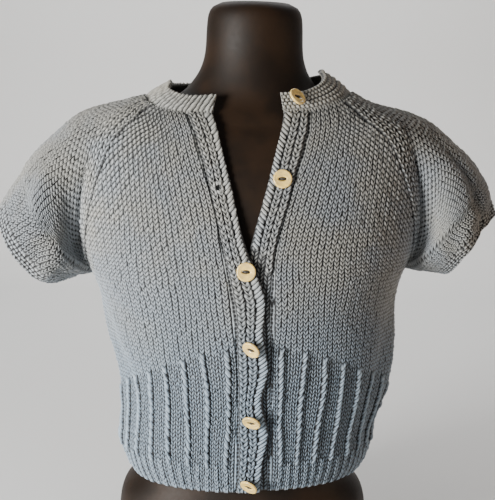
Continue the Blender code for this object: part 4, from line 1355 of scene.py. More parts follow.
@dataclass
class Knitting:
    """The laying of a pattern's stitches on a piece of cloth.

    Args:
        cloth: The smooth face that the stitches stand on.
        pattern: The piece's stitches.
        strip: A function that gives a raglan band's width at rows.
        unevenness: How much the stitches differ in height, as a share of it.
        wander: How far a stitch strays from its wale, in metres.
        slow_drift: How far the wales bend over many courses, in metres.
        quick_drift: How far they bend over a few courses, in metres.
        least_strip: The width under which a raglan band closes up, in metres.
        flat_wale_shade_mask: The mask of painted shade on a wale that lies on the cloth, which is darker than
            a lifted one.
    """

    cloth: Cloth
    pattern: Pattern
    strip: Widths
    unevenness: float = 0.14
    wander: float = 0.00028
    slow_drift: float = 0.0009
    quick_drift: float = 0.0005
    least_strip: float = 0.0012
    # Mask level of a wale lying on the cloth: it gets more painted shade than a lifted one
    flat_wale_shade_mask: float = 0.72

    def __post_init__(self) -> None:
        """Numbers the mesh's lines and columns, and draws the knitter's unevenness."""
        pattern = self.pattern
        self.courses, self.wales = pattern.kinds.shape
        last_column = self.wales * pattern.columns
        self.column = np.arange(last_column + 1)
        self.wale = np.minimum(self.column // pattern.columns, self.wales - 1)
        part = self.column % pattern.columns / pattern.columns
        self.share = np.where(self.column == last_column, 1.0, part)
        line = np.arange(self.courses * ROWS_IN_A_COURSE + 1)
        self.course = np.minimum(line // ROWS_IN_A_COURSE, self.courses - 1)
        self.rise = np.where(line == line[-1], 1.0, line % ROWS_IN_A_COURSE / ROWS_IN_A_COURSE)
        self.level = (self.course + self.rise)[:, None] + np.zeros(len(self.column))[None, :]
        self.kinds = self.by_mesh(pattern.kinds)
        self.first = pattern.start_strip * pattern.columns
        self.last = last_column - pattern.end_strip * pattern.columns
        self.count = (self.column / pattern.columns - pattern.start_strip)[None, :]
        self.length = self.cloth.length_at(self.level)
        self.band = self.strip(self.level)
        self.low = self.band if pattern.start_strip else np.zeros_like(self.band)
        self.high = self.length - (self.band if pattern.end_strip else 0.0)
        random = np.random.default_rng(pattern.seed)
        draws = [random.normal(0, 1, pattern.kinds.shape) for _ in range(2)]
        self.wobble, self.uneven = (np.clip(self.by_mesh(draw), -2, 2) for draw in draws)

    def by_mesh(self, values: Array) -> Array:
        """Values of the stitches, for each point of the mesh."""
        return values[self.course][:, self.wale]

    def moulded(self, measure: Callable[[StitchShape], Share]) -> Array:
        """One measure of the stitches' shapes, for each point of the mesh.

        Args:
            measure: A function that gives the measure of one shape.

        Returns:
            The measure at each point.
        """
        total = np.zeros(self.kinds.shape)
        for kind, shape in SHAPES.items():
            total += (self.kinds == kind) * measure(shape)
        return total

    def even_places(self) -> Array:
        """How far along its row each wale lies, before the raglan bands and edges cut it.

        Returns:
            The distance in metres at each point of the mesh.
        """
        pattern, courses = self.pattern, self.cloth.courses
        if pattern.widths:
            edges = np.concatenate([[0.0], np.cumsum(pattern.widths)]) / sum(pattern.widths)
            return np.interp(self.count, np.arange(self.wales + 1), edges) * self.length
        body = self.wales - pattern.start_strip - pattern.end_strip
        whole = float(self.cloth.length_at(np.array(min(pattern.even_below, courses)))) / body
        up = np.clip((self.level - pattern.even_below) / max(courses - pattern.even_below, 1.0), 0, 1)
        narrowed = whole * (1 - pattern.narrowing * up)
        pitch = np.where(self.level <= pattern.even_below, self.length / body, narrowed)
        if pattern.from_middle:
            return self.length / 2 + (self.count - body / 2) * pitch
        return self.count * pitch

    def body_edges(self, places: Array) -> tuple[Array, Array]:
        """Where the wales of the body end at its first edge and at its last one.

        Args:
            places: How far along its row each wale lies.

        Returns:
            Two masks of the mesh's points.
        """
        column, tiny = self.column[None, :], 1e-7
        in_body = (column >= self.first) & (column <= self.last)
        at_low = in_body & ((places <= self.low + tiny) | (column == self.first))
        at_high = in_body & ((places >= self.high - tiny) | (column == self.last)) & ~at_low
        return at_low, at_high

    def distances(self, places: Array, fixed: Array) -> Array:
        """How far along its row each point of the mesh lies, with the knitter's unevenness.

        Args:
            places: How far along its row each wale lies.
            fixed: The points on the body's edges, which stay where they are.

        Returns:
            The distance in metres at each point.
        """
        column, first, last = self.column, self.first, self.last
        slow = self.slow_drift * np.sin(self.level / 6.3 + 0.37 * self.count)
        drift = slow + self.quick_drift * np.sin(self.level / 2.9 - 0.7 * self.count)
        strayed = (self.wander * self.wobble + drift) * (~fixed)
        distance = np.clip(places, self.low, self.high)
        distance = distance + strayed * ((column >= first) & (column <= last))[None, :]
        if self.pattern.start_strip:
            started = self.low * (column / max(first, 1))[None, :]
            distance = np.where(column[None, :] < first, started, distance)
        if self.pattern.end_strip:
            beyond = (column - last) / (self.pattern.end_strip * self.pattern.columns)
            ended = self.high + self.band * beyond[None, :]
            distance = np.where(column[None, :] > last, ended, distance)
        swing = self.moulded(lambda shape: shape.sway) * np.sin(np.pi * self.level + 2.1 * self.wale[None, :])
        inner_lines = (column > 0) & (column < len(column) - 1) & (column != first) & (column != last)
        return np.clip(distance + swing * inner_lines[None, :], 0, self.length)

    def homes(self, at_low: Array, at_high: Array) -> Array:
        """The column whose point each point of the mesh shares.

        Args:
            at_low: The points on the body's first edge.
            at_high: The points on its last edge.

        Returns:
            A column for each point.
        """
        column = self.column[None, :]
        home = column + np.zeros_like(self.kinds)
        home = np.where(at_low, self.first, home)
        home = np.where(at_high, self.last, home)
        narrow = self.band < self.least_strip
        home = np.where(narrow & (column < self.first), self.first, home)
        home = np.where(narrow & (column > self.last), self.last, home)
        return np.where((self.level <= self.pattern.ring_below) & (home == self.last), self.first, home)

    def lifts(self) -> Array:
        """How far the wales are lifted off the cloth, the lower of two where they meet.

        Returns:
            The lift at each point of the mesh.
        """
        lift, raised = self.by_mesh(self.pattern.raised), self.pattern.raised
        before = raised[self.course][:, np.maximum(self.wale - 1, 0)]
        return np.where((self.share == 0)[None, :], np.minimum(lift, before), lift)

    def shading(self, profile: Array, lift: Array) -> Array:
        """The mask of painted shade that the yarn's finish reads: 1 on the ridges and 0 between the stitches,
        where the painted shade is darkest.

        Args:
            profile: The height of each point, as a share of its stitch's full height.
            lift: How far its wale is lifted off the cloth.

        Returns:
            The mask of painted shade at each point.
        """
        ladder = self.kinds == Stitch.LADDER
        gap_shade_mask = np.clip(np.where(ladder, 1 - profile, profile), 0, 1)
        # Wales that lie low on the cloth get more painted shade than lifted ones; ladders and ropes keep the
        # full mask
        low = np.clip(self.flat_wale_shade_mask + lift / FULL_LIFT * (1 - self.flat_wale_shade_mask), 0, 1)
        gap_shade_mask = gap_shade_mask * np.where(ladder | (self.kinds == Stitch.ROPE), 1.0, low)
        has_strip = self.pattern.start_strip + self.pattern.end_strip > 0
        in_strip = (self.kinds == Stitch.BOLD) & has_strip
        # A power over 1 widens the painted shade between the stitches, on the raglan bands and on pieces that
        # ask for it
        return gap_shade_mask ** np.where(in_strip, RAGLAN_GAP_SHADE_POWER, self.pattern.gap_shade_power)

    def shell(self, name: str) -> Shell:
        """Lays the stitches.

        Args:
            name: The piece's name, for the log.

        Returns:
            The shell, ready to build.
        """
        places = self.even_places()
        at_low, at_high = self.body_edges(places)
        fixed = at_low | at_high
        lean = self.moulded(lambda shape: shape.lean(self.share)[None, :])
        inside_edges = np.clip(np.minimum(self.level, self.courses - self.level) * 1.5, 0, 1)
        row = np.where(fixed, self.level, np.clip(self.level + lean * inside_edges, 0, self.courses))
        along = self.distances(places, fixed) / np.maximum(self.length, 1e-6)
        points, normals = self.cloth.at(row, along)
        profile = self.moulded(lambda shape: shape.across(self.share)[None, :])
        profile = profile * self.moulded(lambda shape: shape.along(self.rise)[:, None])
        tall = self.moulded(lambda shape: shape.height) * profile * (1 + self.unevenness * self.uneven)
        lift = self.lifts()
        stand = lift + tall * self.pattern.height_scale
        stand = np.where(fixed, np.minimum(stand, SMALL_LIFT), stand)
        inner_rows = self.courses // 3 + 1
        inner, inner_level = self.cloth.inner_face(self.courses, inner_rows, INNER_COLUMNS + 1, WALL)
        ring_below = self.pattern.ring_below
        ring_rows = int(np.sum(inner_level <= ring_below)) if ring_below > 0 else 0
        LOG.info("%s: %d courses, %d wales", name, self.courses, self.wales)
        return Shell(
            points + normals * stand[..., None],
            self.homes(at_low, at_high),
            self.shading(profile, lift),
            np.stack([np.broadcast_to(self.column / self.pattern.columns, row.shape), row], axis=-1),
            inner,
            ring_rows,
        )


@dataclass
class KnitPiece:
    """One knitted piece of the cardigan, which stands for a solid of the frame.

    Args:
        node: The solid's name.
        cut: The width and length that the piece was knitted to; not used.
        area: The knitted area, in square metres; not used.
        rests_on: What carries the piece; not used.
    """

    node: str
    cut: tuple[float, float]
    area: float
    rests_on: list[str]

    @property
    def name(self) -> str:
        """The name of the piece in the scene."""
        return f"knit_{self.node}"

    def shell(self) -> Shell:
        """The piece's shell; each kind of piece has its own."""
        raise NotImplementedError

    def build(self, yarn: Material) -> bpy.types.Object:
        """Args:
            yarn: The yarn's material.

        Returns:
            The finished piece.
        """
        item = self.shell().build(self.name)
        turned_outward(item)
        item.data.materials.append(yarn)
        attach(item, "root")
        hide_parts(self.node)
        LOG.info("%s: %d faces", self.name, len(item.data.polygons))
        return item


def welt_pattern(
    wales: int, tops: Sequence[float], strips: tuple[int, int]
) -> tuple[Array, Array]:
    """The kinds and lifts of a body panel's stitches, with its hem, its welt and its raglan bands.

    Args:
        wales: How many wales the panel has besides its raglan bands.
        tops: The height where the welt ends at each wale.
        strips: How many wales of raglan band lie at its start and end.

    Returns:
        The kind of each stitch and how far it is lifted.
    """
    kinds = np.full((LOW_COURSES + YOKE_COURSES, sum(strips) + wales), int(Stitch.KNIT))
    raised = np.full(kinds.shape, SMALL_LIFT)
    for course in range(LOW_COURSES + 1):
        z, _ = course_level(course)
        hem = z < HEM_RIB_TOP_Z
        for wale in range(wales):
            column = strips[0] + wale
            if z > tops[wale]:
                continue
            rib = wale % (2 if hem else WELT_ROPE_EVERY) == 1
            kinds[course, column] = (Stitch.KNIT if hem else Stitch.ROPE) if rib else Stitch.ZIGZAG
            raised[course, column] = (HEM_RIB_LIFT if hem else WELT_ROPE_LIFT) if rib else 0.0
    for start, count in ((0, strips[0]), (strips[0] + wales, strips[1])):
        kinds[LOW_COURSES - RAGLAN_STRIP_EARLY :, start : start + count] = Stitch.BOLD
        raised[LOW_COURSES - RAGLAN_STRIP_EARLY :, start : start + count] = RAGLAN_STRIP_HEIGHT
    return kinds, raised


def panel_cloth(
    course: Callable[[Level], list[Place]], columns: int, lifted: bool, seams: tuple[Seam, Seam]
) -> Cloth:
    """The smooth outer face of a body panel, by its courses from the hem to the neck.

    Args:
        course: A function that gives fine places along a course.
        columns: How many even steps each course has.
        lifted: Whether the panel lies over the button band.
        seams: The side and face of its raglan seams, at the courses' start and at their end.

    Returns:
        The face.
    """
    levels = [course_level(number) for number in range(LOW_COURSES + YOKE_COURSES + 1)]
    shares = [n / columns for n in range(columns + 1)]
    rows = [
        [body_point(z, angle, lifted) for z, angle in spaced_places(course(level), shares)]
        for level in levels
    ]
    points = as_array(rows)
    normals = seamed_normals(points, points.mean(axis=1) * UPRIGHT, [t for _, t in levels], seams)
    return Cloth(hung(points + normals * WALL), normals)


@dataclass
class Front(KnitPiece):
    """One front, from its band to the side seam and the raglan seam."""

    side: int = 1
    wales: int = 36

    def cloth(self) -> Cloth:
        """The front's smooth outer face."""
        return panel_cloth(partial(front_course, self.side), 32, self.side < 0, (None, (self.side, 1)))

    def shell(self) -> Shell:
        """The front's stitches, with its welt and its raglan band.

        Returns:
            The shell, ready to build.
        """
        tops = [between(WELT_TOPS, (wale + 0.5) / self.wales)[0] for wale in range(self.wales)]
        kinds, raised = welt_pattern(self.wales, tops, (0, RAGLAN_STRIP_WALES))
        pattern = Pattern(
            kinds,
            raised,
            end_strip=RAGLAN_STRIP_WALES,
            columns=8,
            even_below=LOW_COURSES,
            narrowing=0.14,
            seed=7 + self.side,
        )
        return Knitting(self.cloth(), pattern, raglan_width).shell(self.name)


@dataclass
class Back(KnitPiece):
    """The back, between the side seams and the two raglan seams."""

    wales: int = 72

    def cloth(self) -> Cloth:
        """The back's smooth outer face."""
        return panel_cloth(back_course, 64, False, ((-1, -1), (1, -1)))

    def shell(self) -> Shell:
        """The back's stitches, with its welt and its two raglan bands.

        Returns:
            The shell, ready to build.
        """
        strips = (RAGLAN_STRIP_WALES, RAGLAN_STRIP_WALES)
        kinds, raised = welt_pattern(self.wales, [BACK_WELT_TOP_Z] * self.wales, strips)
        pattern = Pattern(
            kinds,
            raised,
            start_strip=RAGLAN_STRIP_WALES,
            end_strip=RAGLAN_STRIP_WALES,
            from_middle=True,
            columns=4,
            even_below=LOW_COURSES,
            narrowing=0.08,
            seed=3,
        )
        return Knitting(self.cloth(), pattern, raglan_width).shell(self.name)


@dataclass
class Sleeve(KnitPiece):
    """A sleeve, a tube below the underarm and open along the raglan seams above it."""

    side: int = 1
    wales: int = 84
    arm_courses: int = 13
    yoke_courses: int = 42
    cuff_courses: int = 4
    steps: int = 40
    fine_steps: int = 32
    columns: int = 56
    yoke_bow: float = 0.25
    even_bow: float = -0.20
    even_width: float = 0.40

    def smooth_face(self) -> Cloth:
        """The sleeve's outer face in even steps of t from the cuff to the neck, before it is hung.

        Returns:
            The face.
        """
        ts = [2 - n / self.steps for n in range(2 * self.steps + 1)]
        fine_shares = [n / self.fine_steps for n in range(self.fine_steps + 1)]
        rows = []
        for t in ts:
            reach = reach_along([sleeve_point(self.side, t, share) for share in fine_shares])
            shares = np.interp(np.linspace(0, reach[-1], self.columns + 1), reach, fine_shares)
            rows.append([sleeve_point(self.side, t, float(share)) for share in shares])
        points = as_array(rows)
        seams = ((self.side, 1), (self.side, -1))
        normals = seamed_normals(points, points.mean(axis=1), [t if t <= 1 else None for t in ts], seams)
        tube = [t > 1 for t in ts]
        closed = normals[tube]
        ends = closed[:, 0] + closed[:, -1]
        closed[:, 0] = closed[:, -1] = ends / np.linalg.norm(ends, axis=1, keepdims=True)
        normals[tube] = closed
        return Cloth(points + normals * WALL, normals)

    def cloth(self) -> Cloth:
        """The sleeve's outer face by its courses, which lie evenly away from the seams.

        Returns:
            The face.
        """
        base = self.smooth_face()
        ts = [2 - n / self.arm_courses for n in range(self.arm_courses)]
        ts += [seam_t(bowed(n / self.yoke_courses, self.yoke_bow)) for n in range(self.yoke_courses + 1)]
        beside_seam = (2 - np.array(ts)) * self.steps
        steps = np.linalg.norm(np.diff(base.points, axis=0), axis=2)
        reach = np.concatenate([np.zeros((1, steps.shape[1])), np.cumsum(steps, axis=0)])
        rows = np.empty((len(ts), reach.shape[1]))
        shares = np.linspace(0, 1, reach.shape[1])
        places = bowed(np.linspace(0, 1, len(ts)), self.even_bow)
        for column, share in enumerate(shares):
            even = np.interp(places * reach[-1, column], reach[:, column], np.arange(2 * self.steps + 1))
            part = ease(min(share, 1 - share) / self.even_width)
            rows[:, column] = beside_seam * (1 - part) + even * part
        points, normals = base.at(rows, np.broadcast_to(shares[None, :], rows.shape))
        return Cloth(hung(points), normals)

    def shell(self) -> Shell:
        """The sleeve's stitches, with its garter cuff.

        Returns:
            The shell, ready to build.
        """
        underarm = self.arm_courses
        kinds = np.full((self.arm_courses + self.yoke_courses, self.wales), int(Stitch.KNIT))
        raised = np.full(kinds.shape, SMALL_LIFT)
        kinds[: self.cuff_courses] = Stitch.PURL
        raised[: self.cuff_courses] = GARTER_LIFT
        pattern = Pattern(
            kinds,
            raised,
            from_middle=True,
            even_below=underarm,
            narrowing=0.10,
            ring_below=underarm,
            seed=11 + self.side,
            height_scale=1.35,
            # Wider painted shade between the sleeve's stitches
            gap_shade_power=1.12,
        )
        return Knitting(self.cloth(), pattern, no_width).shell(self.name)


@dataclass
class FrontBand(KnitPiece):
    """A front band, knitted lengthways with a rope-like edge and a ladder of eyelets at its seam."""

    side: int = 1
    hole: bool = False
    lift: float = 0.0004
    widths: tuple[float, ...] = (0.45, 1.1, 1.1, 1.2)
    rim_place: float = 1.35
    rim_width: float = 0.0010
    rim_height: float = 0.0008

    def height(self, course: int) -> float:
        """The height of one of the band's courses."""
        z, t = course_level(course)
        return z if t is None else yoke_height(t, BAND_TOP_Z)

    def cloth(self) -> Cloth:
        """The band's smooth outer face, from its seam to its free edge.

        Returns:
            The face.
        """
        lifted = self.side < 0
        rows = []
        for number in range(LOW_COURSES + YOKE_COURSES + 1):
            z = self.height(number)
            places = [band_place(self.side, z, n / 8) for n in range(9)]
            rows.append([body_point(z, angle, lifted) for _, angle in places])
        points = as_array(rows)
        normals = outward_normals(points, points.mean(axis=1) * UPRIGHT)
        return Cloth(hung(points + normals * WALL), normals)

    def shell(self) -> Shell:
        """The band's stitches, flat where the other band covers them.

        Returns:
            The shell, ready to build.
        """
        courses = LOW_COURSES + YOKE_COURSES
        wales = [int(kind) for kind in (Stitch.LADDER, Stitch.BOLD, Stitch.BOLD, Stitch.ROPE)]
        kinds = np.array([wales] * courses)
        raised = np.full(kinds.shape, self.lift)
        for course in range(courses):
            for wale in range(len(wales)):
                share = (wale + 0.5) / len(wales)
                if is_covered(self.side, self.height(course), share):
                    kinds[course, wale] = Stitch.ZIGZAG
                    raised[course, wale] = COVERED_DEPTH
        pattern = Pattern(
            kinds, raised, columns=8, seed=23 + self.side, height_scale=0.92, widths=self.widths
        )
        shell = Knitting(self.cloth(), pattern, no_width).shell(self.name)
        if self.hole:
            angle = angle_at_x(BUTTONHOLE_Z, BUTTONHOLE_X)
            facing = body_normal(BUTTONHOLE_Z, angle, True)
            middle = hang(body_point(BUTTONHOLE_Z, angle, True) + facing * WALL)
            hole = Hole(middle, facing, BUTTONHOLE_RADIUS)
            shell.holes.append(hole)
            away = hole.away(shell.outer) - hole.radius * self.rim_place
            rim = np.exp(-((away / self.rim_width) ** 2))
            shell.outer = shell.outer + np.array(tuple(facing)) * (self.rim_height * rim)[..., None]
            # The raised rim round the buttonhole gets no painted shade
            shell.gap_shade_mask = np.maximum(shell.gap_shade_mask, rim)
        return shell


@dataclass
class Neckband(KnitPiece):
    """The neckband: slanting cords, but small moss bumps on the wearer's left front."""

    pitch: float = 0.0050
    slant: float = 1.5
    moss_start: float = 0.62
    columns: int = 760
    rows: int = 26
    face_columns: int = 180
    face_rows: int = 6
    tuck: float = 0.05
    tiers: int = 6
    cord_height: float = 0.0027
    moss_height: float = 0.0019
    sunk: float = 0.0008
    roll_height: float = 0.0012
    roll_width: float = 0.0035
    rim_height: float = 0.0007

    def cloth(self) -> tuple[Cloth, float]:
        """The neckband's smooth outer face, and its length.

        Returns:
            The face and the length.
        """
        seam = neckline()
        rows, normals = [], []
        shares = [n / self.face_columns for n in range(self.face_columns + 1)]
        for row in range(self.face_rows + 1):
            height = row * (1 + self.tuck) / self.face_rows - self.tuck
            pairs = [neckband_place(seam, share, height) for share in shares]
            rows.append([point for point, _ in pairs])
            normals.append([normal for _, normal in pairs])
        points, facing = as_array(rows), as_array(normals)
        length = reach_along([point for point, _ in seam])[-1]
        return Cloth(hung(points + facing * NECKBAND_WALL), facing), length

    def shell(self) -> Shell:
        """The neckband's cords and bumps.

        Returns:
            The shell, ready to build.
        """
        cloth, length = self.cloth()
        share = np.linspace(0, 1, self.columns + 1)[None, :] + np.zeros(self.rows + 1)[:, None]
        height = np.linspace(0, 1, self.rows + 1)[:, None] + np.zeros(self.columns + 1)[None, :]
        count = share * length / self.pitch
        # Slanting cords that wave a little, each with the turns of its twist
        wave = 0.10 * np.sin(count * 2.4) + 0.08 * np.sin(count * 0.71 + 2 * height)
        cords = np.abs(np.sin(np.pi * (count + self.slant * height + wave))) ** 0.9
        cords *= 0.45 + 0.55 * np.abs(np.sin(np.pi * (4.5 * height + 0.8 * count))) ** 0.8
        # Moss bumps in tiers, each tier half a bump further on
        moss = np.abs(np.sin(np.pi * (count + 0.5 * np.floor(height * self.tiers)))) ** 0.7
        moss *= np.abs(np.sin(np.pi * height * self.tiers)) ** 0.6
        fade = np.clip((share - self.moss_start) / 0.01 + 0.5, 0, 1)
        profile = cords * (1 - fade) + moss * fade
        # Small bumps where the neckband is picked up, a rolled end and a rounded top edge
        seam_bumps = np.abs(np.sin(np.pi * count * 1.6)) ** 0.7
        at_seam = np.clip(1.6 - height / 0.12, 0, 1)
        profile = profile * (1 - at_seam) + 0.6 * seam_bumps * at_seam
        tall = self.cord_height * (1 - fade) + self.moss_height * fade
        end_roll = np.exp(-((share * length / self.roll_width - 1) ** 2)) * self.roll_height
        rim = self.rim_height * np.exp(-(((height - 0.93) / 0.06) ** 2))
        stand = tall * profile - self.sunk + end_roll + rim
        points, normals = cloth.at(height * cloth.courses, share)
        inner, _ = cloth.inner_face(
            cloth.courses, self.face_rows + 1, self.face_columns + 1, NECKBAND_WALL
        )
        home = np.arange(self.columns + 1)[None, :] + np.zeros(share.shape, int)
        LOG.info("%s: %.0f cords and bumps", self.name, length / self.pitch)
        return Shell(
            points + normals * stand[..., None],
            home,
            # Mask of painted shade: darkest in the grooves between the cords and bumps
            np.clip(0.04 + 0.96 * profile, 0, 1),
            np.stack([count, height * 5], axis=-1),
            inner,
        )


def node(tree: Tree, kind: str, **settings: object) -> Node:
    """Adds a node to a tree.

    Args:
        tree: The node tree.
        kind: The node's type, without the ShaderNode in front.
        settings: Attributes of the node, or the names of its inputs with underscores for spaces.

    Returns:
        The new node.
    """
    made = tree.nodes.new(f"ShaderNode{kind}")
    for name, value in settings.items():
        if hasattr(made, name):
            setattr(made, name, value)
        else:
            made.inputs[name.replace("_", " ")].default_value = value
    return made


def maths(tree: Tree, operation: str, first: Value, second: Value = 0.0) -> Socket:
    """The result of a sum with two values.

    Args:
        tree: The node tree.
        operation: The Math node's operation.
        first: A number or a socket.
        second: Another one, for an operation that needs it.

    Returns:
        The result's socket.
    """
    made = node(tree, "Math", operation=operation)
    for place, value in enumerate((first, second)):
        if isinstance(value, Socket):
            tree.links.new(value, made.inputs[place])
        else:
            made.inputs[place].default_value = value
    return made.outputs[0]


def ramp(tree: Tree, value: Socket, low: float, high: float) -> Socket:
    """A value turned into a smooth mask.

    Args:
        tree: The node tree.
        value: The value's socket.
        low: The value where the mask is 0.
        high: The value where it is 1.

    Returns:
        The mask's socket.
    """
    mask = node(tree, "MapRange", interpolation_type="SMOOTHSTEP", From_Min=low, From_Max=high)
    tree.links.new(value, mask.inputs["Value"])
    return mask.outputs["Result"]


def mixed(tree: Tree, mask: Socket, low: Colour | Socket, high: Colour | Socket) -> Socket:
    """A colour mixed by a mask.

    Args:
        tree: The node tree.
        mask: The mask's socket.
        low: The colour where the mask is 0, or its socket.
        high: The colour where it is 1, or its socket.

    Returns:
        The mixed colour's socket.
    """
    mix = node(tree, "Mix", data_type="RGBA")
    tree.links.new(mask, mix.inputs[0])
    for place, colour in ((6, low), (7, high)):
        if isinstance(colour, Socket):
            tree.links.new(colour, mix.inputs[place])
        else:
            mix.inputs[place].default_value = colour
    return mix.outputs[2]


def object_place(tree: Tree) -> Socket:
    """The socket of a place on the object, in metres."""
    return node(tree, "TexCoord").outputs["Object"]


def principled(name: str, **settings: float) -> tuple[Material, Tree, Node]:
    """A new material with one shader.

    Args:
        name: The material's name.
        settings: The shader's plain values, with underscores for spaces.

    Returns:
        The material, its node tree and its shader.
    """
    made = bpy.data.materials.new(name)
    made.use_nodes = True
    shader = made.node_tree.nodes["Principled BSDF"]
    for setting, value in settings.items():
        shader.inputs[setting.replace("_", " ")].default_value = value
    return made, made.node_tree, shader


def add_bump(tree: Tree, shader: Node, height: Socket, strength: float, distance: float) -> None:
    """Gives a shader a bump.

    Args:
        tree: The node tree.
        shader: The shader whose normal it feeds.
        height: The height's socket.
        strength: The bump's strength, from 0 to 1.
        distance: Its full height, in metres.
    """
    bump = node(tree, "Bump", Strength=strength, Distance=distance)
    tree.links.new(height, bump.inputs["Height"])
    tree.links.new(bump.outputs["Normal"], shader.inputs["Normal"])


def noise_group(
    name: str, size: tuple[str, float], detail: float, roughness: float
) -> tuple[Tree, Socket, Node]:
    """Starts a shared effect that is made from noise.

    Args:
        name: The group's name.
        size: The name of its scale, and its usual value.
        detail: The noise's detail.
        roughness: The noise's roughness.

    Returns:
        The group, the noise's socket and the group's output node.
    """
    tree = bpy.data.node_groups.new(name, "ShaderNodeTree")
    scale = tree.interface.new_socket(size[0], in_out="INPUT", socket_type="NodeSocketFloat")
    scale.default_value = size[1]
    start, end = tree.nodes.new("NodeGroupInput"), tree.nodes.new("NodeGroupOutput")
    noise = node(tree, "TexNoise", Detail=detail, Roughness=roughness)
    tree.links.new(object_place(tree), noise.inputs["Vector"])
    tree.links.new(start.outputs[size[0]], noise.inputs["Scale"])
    return tree, noise.outputs["Fac"], end


def cloud_group() -> Tree:
    """The shared effect of soft, uneven patches.

    Returns:
        The group, which puts out a mask.
    """
    tree, noise, end = noise_group("soft_patches", ("Patch Scale", 12.0), 3.0, 0.55)
    tree.interface.new_socket("Mask", in_out="OUTPUT", socket_type="NodeSocketFloat")
    tree.links.new(ramp(tree, noise, 0.36, 0.64), end.inputs["Mask"])
    return tree


def fibre_group() -> Tree:
    """The shared effect of short fibres and flecks.

    Returns:
        The group, which puts out a height and a fleck mask.
    """
    tree, noise, end = noise_group("fine_fibres", ("Fibre Scale", 900.0), 4.0, 0.65)
    for name in ("Height", "Flecks"):
        tree.interface.new_socket(name, in_out="OUTPUT", socket_type="NodeSocketFloat")
    tree.links.new(noise, end.inputs["Height"])
    tree.links.new(ramp(tree, noise, 0.42, 0.70), end.inputs["Flecks"])
    return tree


@dataclass(frozen=True)
class SharedEffects:
    """The node groups that more than one finish uses."""

    patches: Tree
    fibres: Tree

    def place(self, tree: Tree, group: Tree, scale: float) -> Node:
        """Puts a shared effect in a material.

        Args:
            tree: The material's node tree.
            group: The shared effect.
            scale: Its scale in this material.

        Returns:
            The effect's node.
        """
        made = tree.nodes.new("ShaderNodeGroup")
        made.node_tree = group
        made.inputs[0].default_value = scale
        return made


@dataclass(frozen=True)
class YarnFinish:
    """Matte hand-knitting yarn, with painted shade between its stitches, painted cool light towards the
    bottom and painted shade towards the shoulders.
    """

    name: str = "hand_knitting_yarn"
    # A bluer copy of the yarn's grey: painted cool light, used towards the bottom
    painted_cool_light_blue: Colour = (0.275, 0.365, 0.460, 1.0)
    grey: Colour = (0.340, 0.374, 0.408, 1.0)
    warm: Colour = (0.398, 0.396, 0.366, 1.0)
    # A darker, warmer copy of the yarn colour: painted shade, used towards the shoulders
    painted_shoulder_shade: Colour = (0.262, 0.247, 0.204, 1.0)
    # Near black: painted shade between the stitches
    painted_gap_shade: Colour = (0.018, 0.019, 0.020, 1.0)
    fleck: Colour = (0.58, 0.58, 0.56, 1.0)
    plies: float = 3.0
    ply_turn: float = 1.5
    ply_depth: float = 0.22
    fleck_share: float = 0.30
    # Heights over which the painted cool light fades out and the painted shade of the shoulders comes in
    painted_cool_light_below: tuple[float, float] = (0.18, 0.36)
    painted_shade_above: tuple[float, float] = (0.42, 0.52)
    # The mask range over which the painted shade between the stitches turns into the yarn colour
    gap_shade_ramp: tuple[float, float] = (0.12, 0.80)

    def build(self, effects: SharedEffects) -> Material:
        """Makes the yarn's material from the shared effects.

        Args:
            effects: The shared node groups.

        Returns:
            The material.
        """
        made, tree, shader = principled(
            self.name, Roughness=0.88, Specular_IOR_Level=0.25, Sheen_Weight=0.22, Sheen_Roughness=0.5
        )
        patches = effects.place(tree, effects.patches, 15.0)
        fibres = effects.place(tree, effects.fibres, 700.0)
        # The mask of painted shade between the stitches, 1 on the ridges and 0 between them
        gap_shade_mask = node(tree, "Attribute", attribute_name="yarn_gap_shade_mask").outputs["Fac"]
        parts = node(tree, "SeparateXYZ")
        tree.links.new(object_place(tree), parts.inputs[0])
        height = parts.outputs["Z"]
        upper = mixed(tree, patches.outputs["Mask"], self.grey, self.warm)
        # Painted cool light: the bluer copy towards the bottom, over random grey and warm patches of dye
        dye_and_painted_light = mixed(tree, ramp(tree, height, *self.painted_cool_light_below), self.painted_cool_light_blue, upper)
        # Painted shade towards the shoulders
        dye_and_painted_light = mixed(tree, ramp(tree, height, *self.painted_shade_above), dye_and_painted_light, self.painted_shoulder_shade)
        flecks = maths(tree, "MULTIPLY", fibres.outputs["Flecks"], self.fleck_share)
        dye_and_painted_light = mixed(tree, flecks, dye_and_painted_light, self.fleck)
        # Painted shade between the stitches, near black where the mask is low
        colour = mixed(tree, ramp(tree, gap_shade_mask, *self.gap_shade_ramp), self.painted_gap_shade, dye_and_painted_light)
        tree.links.new(colour, shader.inputs["Base Color"])
        add_bump(tree, shader, self.ply_height(tree, fibres.outputs["Height"]), 0.45, 0.0006)
        return made

    def ply_height(self, tree: Tree, fibre: Socket) -> Socket:
        """The height of the yarn's twisted plies and its fibres.

        Args:
            tree: The material's node tree.
            fibre: The height of the fibres.

        Returns:
            The height's socket.
        """
        parts = node(tree, "SeparateXYZ")
        tree.links.new(node(tree, "UVMap", uv_map="Knit").outputs["UV"], parts.inputs[0])
        across = maths(tree, "MULTIPLY", parts.outputs["X"], self.ply_turn)
        way = maths(tree, "ADD", parts.outputs["Y"], across)
        wave = maths(tree, "SINE", maths(tree, "MULTIPLY", way, 2 * pi * self.plies))
        return maths(tree, "ADD", maths(tree, "MULTIPLY", wave, self.ply_depth), fibre)


